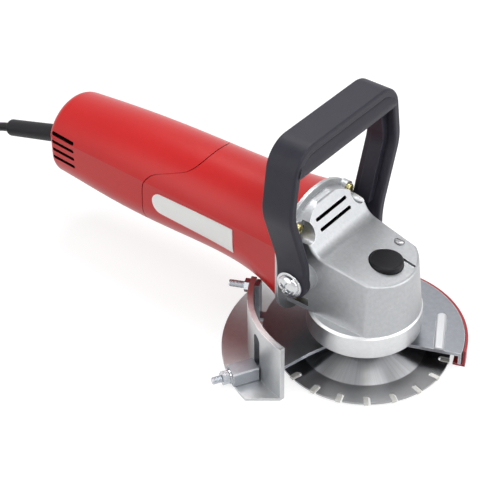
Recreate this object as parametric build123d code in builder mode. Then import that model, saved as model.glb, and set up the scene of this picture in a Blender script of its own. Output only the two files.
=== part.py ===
# Jamb saw: a hand held power tool whose flat circular blade undercuts door frames.
# Millimetres, +Z up. The base stands on z = 0 and the motor runs back along -X.

import os
from math import atan2, cos, hypot, pi, radians, sin, sqrt, tan

from build123d import *

os.makedirs("parts", exist_ok=True)

# Blade
blade_radius = 78.6
blade_thickness = 1.8
blade_lift = 2.4
blade_dish = 7.0
blade_flat_width = 22.0
blade_seat_radius = 30.0
slot_count = 20
slot_width = 6.0
slot_depth = 9.5
slot_turn = 1.8
tip_thickness = 2.8
tip_width = 4.2
tip_length = 8.0
tip_reach = 0.6

# Spindle and drive
motor_height = 94.4
arbor_radius = 7.9
inner_flange_radius = 21.0
inner_flange_height = 4.0
blade_nut_radius = 17.0
blade_nut_hex = 24.0
gear_teeth = 37
pinion_teeth = 10
gear_module = 1.55
gear_face_width = 7.5
tooth_thinning = 0.62
running_fit = 0.05
free_gap = 0.4

# Gear case and bearing cover
cover_radius = 51.0
cover_floor = 31.0
case_floor = 53.0
case_nose_radius = 45.0
nose_draft = 5.0
case_half_width = 36.0
case_wall = 5.0
nose_top = 101.2
top_slope = 0.19
hood_foot = 25.0
hood_slope = 58.0
hood_top = 146.0
hood_blend = 16.0
hood_round = 4.0
rim_round = 2.5
nose_round = 7.0
flange_front = 53.4
flange_back = 56.5
flange_lip = 3.0
neck_radius = 27.0
neck_length = 12.5
cover_screw_circle = 42.5
cover_screw_turn = 48.0
case_screw_y = 37.0
case_screw_rise = 38.5
case_screw_drop = 33.0
screw_radius = 2.4
screw_head_radius = 4.6
screw_head_height = 3.4

# Motor barrel: distance behind the spindle, half width, crease rise, crown rise and belly round
barrel_front = (56.5, 52.5, 21.0, 55.0, 28.0)
barrel_neck = (98.0, 47.6, 18.0, 50.6, 43.5)
barrel_middle = (215.0, 43.2, 16.6, 48.0, 34.0)
barrel_rear = (306.0, 39.6, 15.0, 42.8, 30.0)
barrel_end = (343.0, 37.4, 14.0, 39.4, 28.0)
barrel_wall = 3.2
barrel_end_round = 9.0
seam_top = 160.0
seam_bottom = 226.0
seam_gap = 0.9
seam_round = 24.0
vent_count = 4
vent_length = 30.0
vent_height = 3.4
vent_pitch = 8.6
label_front = 110.0
label_back = 206.0
label_height = 26.0
label_thickness = 0.6

# Bail handle: an arch across the tool, seen from the front
handle_back = 53.0
handle_front = 22.5
handle_pivot_height = 91.0
handle_foot_y = 58.6
handle_knee_height = 110.0
handle_bulge_y = 80.0
handle_bulge_height = 174.0
handle_shoulder_y = 70.0
handle_top = 235.0
knee_round = 70.0
bulge_round = 45.0
shoulder_round = 26.0
strap_thickness = 8.5
strap_round = 2.4
grip_width = 28.0
grip_depth = 26.0
grip_forward = 2.5
grip_sink = 3.0
rib_start = 118.0
rib_width = 13.0
rib_depth = 6.0
handle_bolt_radius = 5.0
bolt_head_radius = 12.5
bolt_flange_height = 2.4
bolt_dome_radius = 10.4
bolt_dome_height = 5.4

# Blade guard
plate_top = 19.0
plate_thickness = 3.2
plate_radius = 90.0
skirt_thickness = 2.5
skirt_bottom = 6.5
hub_radius = 32.5
opening_x = -9.3
opening_y = -12.2
opening_left = -103.8
opening_right = 21.6
bead_width = 9.0
bead_height = 2.2
upright_radius = 97.6
upright_thickness = 4.0
stud_angle = -119.0
stud_height = 10.0
stud_radius = 3.0
stud_reach = 145.0
block_length = 25.0
block_height = 14.0
block_width = 16.0
lock_angle = -155.0
lock_height = 51.5
lock_reach = 122.0

# Height base
sole_radius = 126.5
sole_thickness = 3.0
wall_radius = 103.0
wall_thickness = 5.0
wall_top = 58.0
wall_start = -98.5
wall_end = -158.0
sole_end = -242.0
slot_top = 48.0
wall_slot_width = 12.0
band_radius = 93.0
band_thickness = 2.4
band_height = 18.0
band_start = 20.0
band_end = 176.0
band_lip = 11.0

# Cord
relief_radius = 8.4
relief_length = 96.0
relief_height = 86.0
relief_droop = 16.7
cord_radius = 4.5

# The origin is under the middle of the tool, so the spindle stands off it
front_reach = band_radius * cos(radians(band_start))
rear_reach = barrel_end[0] + relief_length * cos(radians(relief_droop))
near_reach = -stud_reach * sin(radians(stud_angle))
far_reach = sole_radius * sin(radians(sole_end))
spindle_x = (rear_reach - front_reach) / 2
spindle_y = (near_reach - far_reach) / 2


def level(height, turn=0):
    """Plane across the spindle at a height above the floor."""
    return Plane(
        origin=(spindle_x, spindle_y, height),
        x_dir=(cos(radians(turn)), sin(radians(turn)), 0),
        z_dir=(0, 0, 1),
    )


def station(distance, rise=0):
    """Plane across the motor axis, facing back; its x is the near side and its y is up."""
    return Plane(
        origin=(spindle_x - distance, spindle_y, motor_height + rise),
        x_dir=(0, -1, 0),
        z_dir=(-1, 0, 0),
    )


def profile(offset=0):
    """Upright plane along the tool, facing the near side; its x is forward, measured from the spindle."""
    return Plane(origin=(spindle_x, spindle_y - offset, 0), x_dir=(1, 0, 0), z_dir=(0, -1, 0))


def radial(turn, radius, height):
    """Plane facing outwards from the spindle at an angle, radius and height; its y is up."""
    out = (cos(radians(turn)), sin(radians(turn)), 0)
    return Plane(
        origin=(spindle_x + radius * out[0], spindle_y + radius * out[1], height),
        x_dir=(-out[1], out[0], 0),
        z_dir=out,
    )


def half_section(turn=0):
    """Upright plane through the spindle for turned profiles: x is radius and y is height."""
    out = (cos(radians(turn)), sin(radians(turn)), 0)
    return Plane(origin=(spindle_x, spindle_y, 0), x_dir=out, z_dir=(out[1], -out[0], 0))


spindle_axis = Axis((spindle_x, spindle_y, 0), (0, 0, 1))
motor_axis = Axis((spindle_x, spindle_y, motor_height), (-1, 0, 0))


def polar(radius, turn):
    """Point at a radius and an angle in degrees."""
    return (radius * cos(radians(turn)), radius * sin(radians(turn)))


def save(part, name):
    part.label = name
    export_step(part, f"parts/{name}.step")


def ring_sector(outer, inner, start, end):
    """Flat sector of a ring between two angles about the spindle."""
    middle = (start + end) / 2
    with BuildSketch() as sector:
        with BuildLine():
            outer_arc = ThreePointArc(*[polar(outer, turn) for turn in (start, middle, end)])
            inner_arc = ThreePointArc(*[polar(inner, turn) for turn in (start, middle, end)])
            Line(outer_arc @ 0, inner_arc @ 0)
            Line(outer_arc @ 1, inner_arc @ 1)
        make_face()
    return sector.sketch


# Saw blade: a flat toothed rim that dishes up to the seat
blade_top = blade_lift + blade_thickness
seat_floor = blade_lift + blade_dish
seat_top = seat_floor + blade_thickness
rim_inner = blade_radius - blade_flat_width
with BuildPart() as saw_blade:
    with BuildSketch(half_section()):
        with BuildLine():
            Polyline(
                (arbor_radius + running_fit, seat_floor),
                (blade_seat_radius, seat_floor),
                (rim_inner, blade_lift),
                (blade_radius, blade_lift),
                (blade_radius, blade_top),
                (rim_inner, blade_top),
                (blade_seat_radius, seat_top),
                (arbor_radius + running_fit, seat_top),
                close=True,
            )
        make_face()
    revolve(axis=spindle_axis)
    with BuildSketch(level(blade_lift)):
        with PolarLocations(0, slot_count, start_angle=slot_turn):
            with Locations((blade_radius, 0)):
                SlotOverall(2 * slot_depth, slot_width)
    extrude(amount=blade_thickness, mode=Mode.SUBTRACT)
save(saw_blade.part, "saw_blade")

# Carbide tips: one on the leading wall of every slot
with BuildPart() as carbide_tips:
    with BuildSketch(level(blade_top - (tip_thickness + blade_thickness) / 2)):
        with PolarLocations(0, slot_count, start_angle=slot_turn):
            with Locations((blade_radius + tip_reach - tip_length / 2, tip_width / 2 - slot_width / 2)):
                Rectangle(tip_length, tip_width)
    extrude(amount=tip_thickness)
    with BuildSketch(level(blade_lift)):
        Circle(blade_radius)
        with PolarLocations(0, slot_count, start_angle=slot_turn):
            with Locations((blade_radius, 0)):
                SlotOverall(2 * slot_depth, slot_width, mode=Mode.SUBTRACT)
    extrude(amount=blade_thickness, mode=Mode.SUBTRACT)
save(carbide_tips.part, "carbide_tips")

# Blade mounting: inner flange above the seat and a low hexagon nut in the dish
with BuildPart() as inner_flange:
    with BuildSketch(level(seat_top)):
        Circle(inner_flange_radius)
        Circle(arbor_radius + running_fit, mode=Mode.SUBTRACT)
    extrude(amount=inner_flange_height)
    chamfer(inner_flange.edges().group_by(Axis.Z)[-1].sort_by(SortBy.RADIUS)[-1], 1.2)
save(inner_flange.part, "inner_flange")

nut_flange_height = 2.6
nut_height = blade_dish - 0.6
with BuildPart() as blade_nut:
    with BuildSketch(level(seat_floor)):
        Circle(blade_nut_radius)
    extrude(amount=-nut_flange_height)
    with BuildSketch(level(seat_floor - nut_flange_height)):
        RegularPolygon(blade_nut_hex / 2, 6, major_radius=False)
    extrude(amount=nut_flange_height - nut_height)
    with BuildSketch(level(seat_floor)):
        Circle(arbor_radius + running_fit)
    extrude(amount=-nut_height, mode=Mode.SUBTRACT)
save(blade_nut.part, "blade_nut")

# Blade guard: clamped hub, flat top plate with a front opening, and a short skirt
plate_floor = plate_top - plate_thickness
hub_top = cover_floor - free_gap
reach_out = 2 * plate_radius
left_x = cos(radians(opening_left))
left_y = sin(radians(opening_left))
right_x = cos(radians(opening_right))
right_y = sin(radians(opening_right))
upright_inner = upright_radius - upright_thickness
front_upright_half = 9.0
rear_upright_half = 3.0
upright_floor = sole_thickness + 1.0
front_upright_top = 40.0
rear_upright_top = wall_top - 2.0
bead_start = (46.0, 57.0)
bead_end = (70.0, 14.0)
bead_round = bead_height - 0.2
ear_turn = 150.0
ear_length = 12.0
ear_span = 16.0
ear_slit = 1.6


def ear_plane(aside):
    """Plane across the pinch ear's screw, facing along it; its y is up."""
    out = (cos(radians(ear_turn)), sin(radians(ear_turn)))
    reach = hub_radius + ear_length / 2
    return Plane(
        origin=(
            spindle_x + reach * out[0] - aside * out[1],
            spindle_y + reach * out[1] + aside * out[0],
            (plate_top + hub_top) / 2,
        ),
        x_dir=(out[0], out[1], 0),
        z_dir=(-out[1], out[0], 0),
    )


def opening_wedge():
    """Front opening of the guard, outside the hub, seen from above."""
    with BuildSketch() as wedge:
        with BuildLine():
            Polyline(
                (opening_x, opening_y),
                (opening_x + reach_out * left_x, opening_y + reach_out * left_y),
                (
                    opening_x + 2 * reach_out * (left_x + right_x),
                    opening_y + 2 * reach_out * (left_y + right_y),
                ),
                (opening_x + reach_out * right_x, opening_y + reach_out * right_y),
                close=True,
            )
        make_face()
        Circle(hub_radius, mode=Mode.SUBTRACT)
    return wedge.sketch


front_upright = (stud_angle - front_upright_half, stud_angle + front_upright_half)
rear_upright = (lock_angle - rear_upright_half, lock_angle + rear_upright_half)
with BuildPart() as guard_plate:
    with BuildSketch(level(plate_floor)):
        Circle(plate_radius)
        add(opening_wedge(), mode=Mode.SUBTRACT)
        add(ring_sector(upright_radius, hub_radius, *front_upright))
        add(ring_sector(upright_radius, hub_radius, *rear_upright))
    extrude(amount=plate_thickness)
    with BuildSketch(level(skirt_bottom)):
        Circle(plate_radius)
        Circle(plate_radius - skirt_thickness, mode=Mode.SUBTRACT)
        add(opening_wedge(), mode=Mode.SUBTRACT)
    extrude(amount=plate_floor - skirt_bottom)
    with BuildSketch(level(plate_top)):
        with BuildLine():
            Line(bead_start, bead_end)
        trace(line_width=bead_width)
        with Locations(bead_start):
            Circle(bead_width / 2)
        add(opening_wedge(), mode=Mode.SUBTRACT)
    extrude(amount=bead_height)
    bead_rim = guard_plate.faces().sort_by(Axis.Z)[-1].edges()
    fillet(bead_rim.filter_by(lambda edge: edge.length > 1.3 * bead_width), bead_round)
    with BuildSketch(level(upright_floor)):
        add(ring_sector(upright_radius, upright_inner, *front_upright))
    extrude(amount=front_upright_top - upright_floor)
    with BuildSketch(level(plate_floor)):
        add(ring_sector(upright_radius, upright_inner, *rear_upright))
    extrude(amount=rear_upright_top - plate_floor)
    with BuildSketch(level(plate_floor)):
        Circle(hub_radius)
    extrude(amount=hub_top - plate_floor)
    with BuildSketch(level(plate_floor)):
        Circle(neck_radius + running_fit)
    extrude(amount=hub_top - plate_floor, mode=Mode.SUBTRACT)
    with BuildSketch(radial(stud_angle, upright_inner - 2, stud_height)):
        Circle(stud_radius)
    extrude(amount=upright_thickness + 4, mode=Mode.SUBTRACT)
    # pinch ear: the hub is slit here and closed on the neck by a screw
    with BuildSketch(level(plate_floor, ear_turn)):
        with Locations((hub_radius + ear_length / 2 - 1, 0)):
            Rectangle(ear_length + 2, ear_span)
    extrude(amount=hub_top - plate_floor)
    with BuildSketch(level(plate_floor)):
        Circle(neck_radius + running_fit)
    extrude(amount=hub_top - plate_floor, mode=Mode.SUBTRACT)
    with BuildSketch(level(plate_top + 0.5, ear_turn)):
        with Locations((hub_radius, 0)):
            Rectangle(3 * ear_length, ear_slit)
    extrude(amount=hub_top - plate_top, mode=Mode.SUBTRACT)
    with BuildSketch(ear_plane(ear_span / 2)):
        Circle(screw_radius)
    extrude(amount=-ear_span, mode=Mode.SUBTRACT)
save(guard_plate.part, "guard_plate")

# Height base: a sole with an upright slotted wall, and a red band riveted round the back
wall_inner = wall_radius - wall_thickness
band_inner = band_radius - band_thickness
slot_floor = stud_height - stud_radius - free_gap
foot_angle = wall_start - 9.5
with BuildPart() as base_bracket:
    with BuildSketch(level(0)):
        add(ring_sector(sole_radius, wall_inner, foot_angle, wall_end))
        add(ring_sector(sole_radius, band_radius, wall_end, sole_end))
        with BuildLine():
            Polyline(
                polar(wall_inner, wall_start),
                polar(wall_radius, wall_start),
                polar(sole_radius, foot_angle),
                polar(wall_inner, foot_angle),
                close=True,
            )
        make_face()
    extrude(amount=sole_thickness)
    with BuildSketch(level(0)):
        add(ring_sector(wall_radius, wall_inner, wall_start, wall_end))
    extrude(amount=wall_top)
    with BuildSketch(radial(stud_angle, wall_inner - 2, (slot_floor + slot_top) / 2)):
        SlotOverall(slot_top - slot_floor, wall_slot_width, rotation=90)
    extrude(amount=wall_thickness + 4, mode=Mode.SUBTRACT)
    with BuildSketch(radial(lock_angle, wall_inner - 2, lock_height)):
        Circle(stud_radius + running_fit)
    extrude(amount=wall_thickness + 4, mode=Mode.SUBTRACT)
save(base_bracket.part, "base_bracket")

# Red band: a thin wall with a floor lip, and ears that lie on the sole
ear_turns = (126.0, 143.0, 160.0)
ear_width = 14.0
ear_reach = 17.0
ear_thickness = 2.0
rivet_radius = 2.2
rivet_head_radius = 4.0
rivet_head_height = 1.6
rivet_circle = band_radius + ear_reach * 0.55
with BuildPart() as red_band:
    with BuildSketch(level(0)):
        add(ring_sector(band_radius, band_inner, band_start, band_end))
    extrude(amount=band_height)
    with BuildSketch(level(0)):
        add(ring_sector(band_radius, band_radius - band_lip, band_start, band_end))
    extrude(amount=band_thickness)
    with BuildSketch(level(sole_thickness)):
        for turn in ear_turns:
            with PolarLocations(band_radius + ear_reach / 2 - band_thickness, 1, start_angle=turn):
                Rectangle(ear_reach, ear_width)
    extrude(amount=ear_thickness)
    with BuildSketch(level(band_thickness)):
        Circle(band_inner)
    extrude(amount=band_height, mode=Mode.SUBTRACT)
    with BuildSketch(level(sole_thickness)):
        for turn in ear_turns:
            with PolarLocations(rivet_circle, 1, start_angle=turn):
                Circle(rivet_radius)
    extrude(amount=ear_thickness, mode=Mode.SUBTRACT)
save(red_band.part, "red_band")

with BuildPart() as band_rivets:
    with BuildSketch(level(sole_thickness)):
        for turn in ear_turns:
            with PolarLocations(rivet_circle, 1, start_angle=turn):
                Circle(rivet_radius)
    extrude(amount=ear_thickness)
    with BuildSketch(level(sole_thickness + ear_thickness)):
        for turn in ear_turns:
            with PolarLocations(rivet_circle, 1, start_angle=turn):
                Circle(rivet_head_radius)
    extrude(amount=rivet_head_height)
    chamfer(band_rivets.edges().group_by(Axis.Z)[-1], 0.8)
save(band_rivets.part, "band_rivets")

# Front height clamp: a stud fixed in the guard, a bar block outside the wall and a nut
nut_across = 11.0
clamp_nut_height = 6.5
washer_height = 1.2
block_start = wall_radius + free_gap
block_end = block_start + block_length
with BuildPart() as height_stud:
    with BuildSketch(radial(stud_angle, upright_inner, stud_height)):
        Circle(stud_radius)
    extrude(amount=stud_reach - upright_inner)
    chamfer(height_stud.faces().sort_by(SortBy.DISTANCE)[0].edges(), 0.5)
save(height_stud.part, "height_stud")

with BuildPart() as clamp_block:
    with BuildSketch(radial(stud_angle, block_start, sole_thickness + block_height / 2)):
        Rectangle(block_width, block_height)
    extrude(amount=block_length)
    chamfer(clamp_block.edges(), 0.8)
    with BuildSketch(radial(stud_angle, block_start, stud_height)):
        Circle(stud_radius)
    extrude(amount=block_length, mode=Mode.SUBTRACT)
save(clamp_block.part, "clamp_block")

with BuildPart() as height_nut:
    with BuildSketch(radial(stud_angle, block_end + 0.1, stud_height)):
        Circle(nut_across / 2 + 1.6)
    extrude(amount=washer_height)
    with BuildSketch(radial(stud_angle, block_end + 0.1 + washer_height, stud_height)):
        RegularPolygon(nut_across / 2, 6, major_radius=False)
    extrude(amount=clamp_nut_height)
    with BuildSketch(radial(stud_angle, block_end + 0.1, stud_height)):
        Circle(stud_radius + running_fit)
    extrude(amount=clamp_nut_height + washer_height, mode=Mode.SUBTRACT)
save(height_nut.part, "height_nut")

# Rear lock: a screw through the wall that bears on the guard's rear upright
with BuildPart() as lock_screw:
    with BuildSketch(radial(lock_angle, upright_radius + 0.1, lock_height)):
        Circle(stud_radius)
    extrude(amount=lock_reach - upright_radius - 0.1)
save(lock_screw.part, "lock_screw")

with BuildPart() as lock_nut:
    with BuildSketch(radial(lock_angle, wall_radius + 0.1, lock_height)):
        RegularPolygon(nut_across / 2, 6, major_radius=False)
        Circle(stud_radius, mode=Mode.SUBTRACT)
    extrude(amount=0.7 * clamp_nut_height)
save(lock_nut.part, "lock_nut")

# Gear case: a round nose with flat sides, a sloped top, a vented hood and a motor flange
handle_pivot_x = (handle_front + handle_back) / 2
pinion_radius = gear_module * pinion_teeth / 2
gear_radius = gear_module * gear_teeth / 2
cone_length = hypot(pinion_radius, gear_radius)
top_flare = 8.7
boss_radius = 15.0
boss_face = handle_foot_y - strap_thickness - 0.1
bearing_front = 36.5
bearing_width = 10.0
bearing_radius = 16.0
cavity_top = motor_height - 2.0
pinion_room = 14.0
lock_x = 17.5
lock_pin_radius = 2.5
lock_travel = 3.5
button_x = 20.0
button_radius = 15.0
button_height = 6.4
button_round = 2.4
button_floor = 103.0
spring_radius = 5.2
spring_seat = cavity_top + 2.4
bush_radius = 9.0
bush_length = 6.0
vent_half = 22.0
vent_width = 3.4
vent_rises = (0.42, 0.68)
hood_wall = 5.0
hood_crown = 1.0
pad_radius = 6.5
pocket_radius = 9.0
finger_slot_y = 13.7
finger_slot_width = 2.6
finger_slot_depth = 2.6
finger_slot_margin = 2.2
pad_front = 47.0
bolt_depth = 12.0
cover_screw_bite = 8.0
plug_x = 14.0
plug_y = 29.0
plug_radius = 3.0
plug_head_radius = 4.4


def barrel_section(size, inset):
    """Cross-section of the motor barrel: flat sides up to a crease, a crowned top and a rounded belly."""
    half, crease, crown, belly = size[1] - inset, size[2], size[3], size[4] - inset
    with BuildSketch() as section:
        with BuildLine():
            ThreePointArc((half, crease), (0, crown - inset), (-half, crease))
            FilletPolyline(
                (-half, crease),
                (-half, -half),
                (half, -half),
                (half, crease),
                radius=belly,
            )
        make_face()
    return section.sketch


def top_height(forward):
    """Height of the sloped top at a distance in front of the spindle."""
    return nose_top + top_slope * (case_nose_radius - forward)


def nose_outline(inset, flare):
    """Planform of the gear case: round nose, flat sides that may flare towards the motor."""
    radius = case_nose_radius - inset
    half = case_half_width - inset
    corner = sqrt(radius**2 - half**2)
    with BuildSketch() as outline:
        with BuildLine():
            ThreePointArc((corner, -half), (radius, 0), (corner, half))
            Polyline(
                (corner, half),
                (-flange_front, half + flare),
                (-flange_front, -half - flare),
                (corner, -half),
            )
        make_face()
    return outline.sketch


def case_outline(height):
    """Planform of the gear case at a height, drawn in upwards by its draft and flared towards the motor."""
    draft = nose_draft / (nose_top - case_floor)
    flare = top_flare / (hood_foot_height - case_floor)
    return nose_outline(draft * (height - nose_top), flare * (height - case_floor))


hood_foot_height = top_height(-hood_foot)
upper_places = [(aside, case_screw_rise) for aside in (case_screw_y, -case_screw_y)]
lower_places = [(aside, -case_screw_drop) for aside in (case_screw_y, -case_screw_y)]
flange_places = upper_places + lower_places
cover_turns = (cover_screw_turn, 180 - cover_screw_turn - 4, 184 + cover_screw_turn, -cover_screw_turn)
cover_places = [polar(cover_screw_circle, turn) for turn in cover_turns]
plug_seat = top_height(plug_x + plug_head_radius + 1)
well_floor = button_floor - lock_travel - 0.2
hood_head = hood_foot + (hood_top - hood_foot_height) / tan(radians(hood_slope))
hood_radius = hood_top - motor_height + hood_crown
with BuildPart() as gear_case:
    for height in (case_floor, hood_top + 1):
        with BuildSketch(level(height)):
            add(case_outline(height))
    loft(ruled=True)
    nose_edges = gear_case.edges().filter_by(lambda edge: edge.center().X > spindle_x + hood_foot / 2)
    fillet(nose_edges.filter_by(lambda edge: edge.bounding_box().size.Z > hood_top - case_floor), nose_round)
    # sloped top that runs up into the hood, with its rim rounded
    with BuildSketch(profile()):
        with BuildLine():
            ridge = FilletPolyline(
                (2 * case_nose_radius, top_height(2 * case_nose_radius)),
                (-hood_foot, hood_foot_height),
                (-hood_head, hood_top),
                (-2 * flange_back, hood_top),
                radius=[hood_blend, hood_round],
            )
            Polyline(
                ridge @ 1,
                (-2 * flange_back, 2 * hood_top),
                (2 * case_nose_radius, 2 * hood_top),
                ridge @ 0,
            )
        make_face()
    extrude(amount=2 * case_half_width, both=True, mode=Mode.SUBTRACT)
    top_edges = gear_case.edges().filter_by(lambda edge: edge.center().Z > nose_top - 1)
    side_edges = top_edges.filter_by(lambda edge: abs(edge.center().Y - spindle_y) > case_half_width / 2)
    nose_edges = top_edges.filter_by(lambda edge: edge.center().X > spindle_x + case_nose_radius / 2)
    fillet(side_edges + nose_edges, rim_round)
    # round shoulders of the hood, and the flange that the motor barrel meets
    with BuildSketch(station(hood_foot)):
        with Locations((0, hood_radius)):
            Rectangle(4 * case_half_width, 2 * hood_radius)
        Circle(hood_radius, mode=Mode.SUBTRACT)
    extrude(amount=flange_front - hood_foot, mode=Mode.SUBTRACT)
    with BuildSketch(station(flange_front)):
        add(barrel_section(barrel_front, -flange_lip))
    extrude(amount=flange_back - flange_front)
    for side in (1, -1):
        with BuildSketch(profile(side * (case_half_width - 8))):
            with Locations((-handle_pivot_x, handle_pivot_height)):
                Circle(boss_radius)
        extrude(amount=side * (boss_face - case_half_width + 8))
    with BuildSketch(level(cover_floor)):
        Circle(cover_radius + 0.3)
    extrude(amount=case_floor - cover_floor, mode=Mode.SUBTRACT)
    with BuildSketch(station(pad_front)):
        with Locations(*flange_places):
            Circle(pad_radius)
    extrude(amount=flange_front - pad_front)
    with BuildSketch(station(pad_front)):
        with Locations(*upper_places):
            Circle(pocket_radius)
    extrude(amount=hood_foot - pad_front, mode=Mode.SUBTRACT)
    with BuildSketch(station(pad_front)):
        with Locations(*lower_places):
            Circle(screw_head_radius + 1)
    extrude(amount=-pad_front / 3, mode=Mode.SUBTRACT)
    # gear chamber, pinion pocket, bearing bore and the air space behind the hood
    with BuildSketch(level(case_floor)):
        add(nose_outline(case_wall, 0))
        with Locations((-flange_front, 0)):
            Rectangle(2 * (flange_front - bearing_front), 4 * case_half_width, mode=Mode.SUBTRACT)
    extrude(amount=cavity_top - case_floor, mode=Mode.SUBTRACT)
    with BuildSketch(station(pinion_room)):
        Circle(pinion_room)
    extrude(amount=bearing_front - pinion_room, mode=Mode.SUBTRACT)
    with BuildSketch(station(bearing_front)):
        Circle(bearing_radius)
    extrude(amount=bearing_width, mode=Mode.SUBTRACT)
    with BuildSketch(station(bearing_front + bearing_width)):
        Circle(barrel_front[1] - 6)
    extrude(amount=flange_back, mode=Mode.SUBTRACT)
    with BuildSketch(profile()):
        with BuildLine():
            Polyline(
                (-hood_foot - hood_wall - 1, hood_foot_height + 1),
                (-hood_head - hood_wall, hood_top - hood_wall),
                (-flange_front - 1, hood_top - hood_wall),
                (-flange_front - 1, hood_foot_height + 1),
                close=True,
            )
        make_face()
    extrude(amount=vent_half + 2, both=True, mode=Mode.SUBTRACT)
    for rise in vent_rises:
        vent_x = -hood_foot - rise * (hood_head - hood_foot)
        vent_z = hood_foot_height + rise * (hood_top - hood_foot_height)
        vent_plane = Plane(
            origin=(spindle_x + vent_x, spindle_y, vent_z),
            x_dir=(0, 1, 0),
            z_dir=(sin(radians(hood_slope)), 0, cos(radians(hood_slope))),
        )
        with BuildSketch(vent_plane.offset(hood_wall)):
            SlotOverall(2 * vent_half, vent_width)
        extrude(amount=-3 * hood_wall, mode=Mode.SUBTRACT)
    # spindle bush bore, lock pin hole, spring seat and button well
    with BuildSketch(level(cavity_top)):
        Circle(bush_radius)
    extrude(amount=bush_length, mode=Mode.SUBTRACT)
    with BuildSketch(level(cavity_top)):
        with Locations((lock_x, 0)):
            Circle(lock_pin_radius + running_fit)
    extrude(amount=spring_seat - cavity_top, mode=Mode.SUBTRACT)
    with BuildSketch(level(spring_seat)):
        with Locations((lock_x, 0)):
            Circle(spring_radius + free_gap)
    extrude(amount=well_floor - spring_seat, mode=Mode.SUBTRACT)
    with BuildSketch(level(well_floor)):
        with Locations((button_x, 0)):
            Circle(button_radius + free_gap)
    extrude(amount=case_nose_radius / 2, mode=Mode.SUBTRACT)
    # finger slot from the well's far side to the nose
    slot_start = button_x + sqrt(button_radius**2 - finger_slot_y**2) - 1
    slot_end = sqrt(case_nose_radius**2 - finger_slot_y**2) - finger_slot_margin
    with BuildSketch(level(top_height(slot_end) - finger_slot_depth)):
        with Locations(((slot_start + slot_end) / 2, finger_slot_y)):
            Rectangle(slot_end - slot_start, finger_slot_width)
    extrude(amount=3 * finger_slot_depth, mode=Mode.SUBTRACT)
    # bearing cover screw holes and the grease plug's hole and spot face
    with BuildSketch(level(case_floor)):
        with Locations(*cover_places):
            Circle(screw_radius)
    extrude(amount=cover_screw_bite + 1, mode=Mode.SUBTRACT)
    with BuildSketch(level(plug_seat - 6)):
        with Locations((plug_x, plug_y)):
            Circle(plug_radius)
    extrude(amount=6, mode=Mode.SUBTRACT)
    with BuildSketch(level(plug_seat)):
        with Locations((plug_x, plug_y)):
            Circle(plug_head_radius + free_gap)
    extrude(amount=6, mode=Mode.SUBTRACT)
    # handle bolt holes and flange screw holes
    for side in (1, -1):
        with BuildSketch(profile(side * boss_face)):
            with Locations((-handle_pivot_x, handle_pivot_height)):
                Circle(handle_bolt_radius)
        extrude(amount=-side * bolt_depth, mode=Mode.SUBTRACT)
    with BuildSketch(station(pad_front)):
        with Locations(*flange_places):
            Circle(screw_radius)
    extrude(amount=flange_back - pad_front, mode=Mode.SUBTRACT)
save(gear_case.part, "gear_case")

# Motor barrel: a round tube with flat sides and a crowned top, lofted through five stations


def barrel(inset, end_inset):
    """Solid of the whole barrel, drawn in by a wall."""
    sizes = (barrel_front, barrel_neck, barrel_middle, barrel_rear, barrel_end)
    with BuildPart() as body:
        for size in sizes:
            distance = size[0] - (end_inset if size is barrel_end else 0)
            with BuildSketch(station(distance)):
                add(barrel_section(size, inset))
        loft()
    return body


outer_barrel = barrel(0, 0)
inner_barrel = barrel(barrel_wall, barrel_wall)


def seam_cut(shift):
    """Everything in front of the S shaped joint between the housing and the rear cover."""
    high = barrel_middle[3] * 3
    with BuildSketch() as region:
        with BuildLine():
            seam = FilletPolyline(
                (-seam_top - shift, motor_height + high),
                (-seam_top - 2 - shift, motor_height + barrel_middle[3] - 6),
                (-seam_bottom + 9 - shift, motor_height + barrel_middle[2] + 6),
                (-seam_bottom - shift, motor_height - high),
                radius=seam_round,
            )
            Polyline(seam @ 1, (-barrel_front[0] + 1, motor_height - high))
            Polyline((-barrel_front[0] + 1, motor_height - high), (-barrel_front[0] + 1, motor_height + high))
            Polyline((-barrel_front[0] + 1, motor_height + high), seam @ 0)
        make_face()
    return region.sketch


slider_height = 7.0
slider_length = 24.0
slider_width = 10.0
slider_thickness = 4.0
slider_travel = 8.0
slider_neck = 8.0
slider_middle = 252.0
switch_length = 36.0
switch_width = 14.4
switch_depth = 20.0
post_width = 10.0
cover_slope = (barrel_middle[1] - barrel_rear[1]) / (barrel_rear[0] - barrel_middle[0])


def side_width(distance):
    """Half width of the rear cover at a distance behind the spindle."""
    return barrel_middle[1] - cover_slope * (distance - barrel_middle[0])


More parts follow.
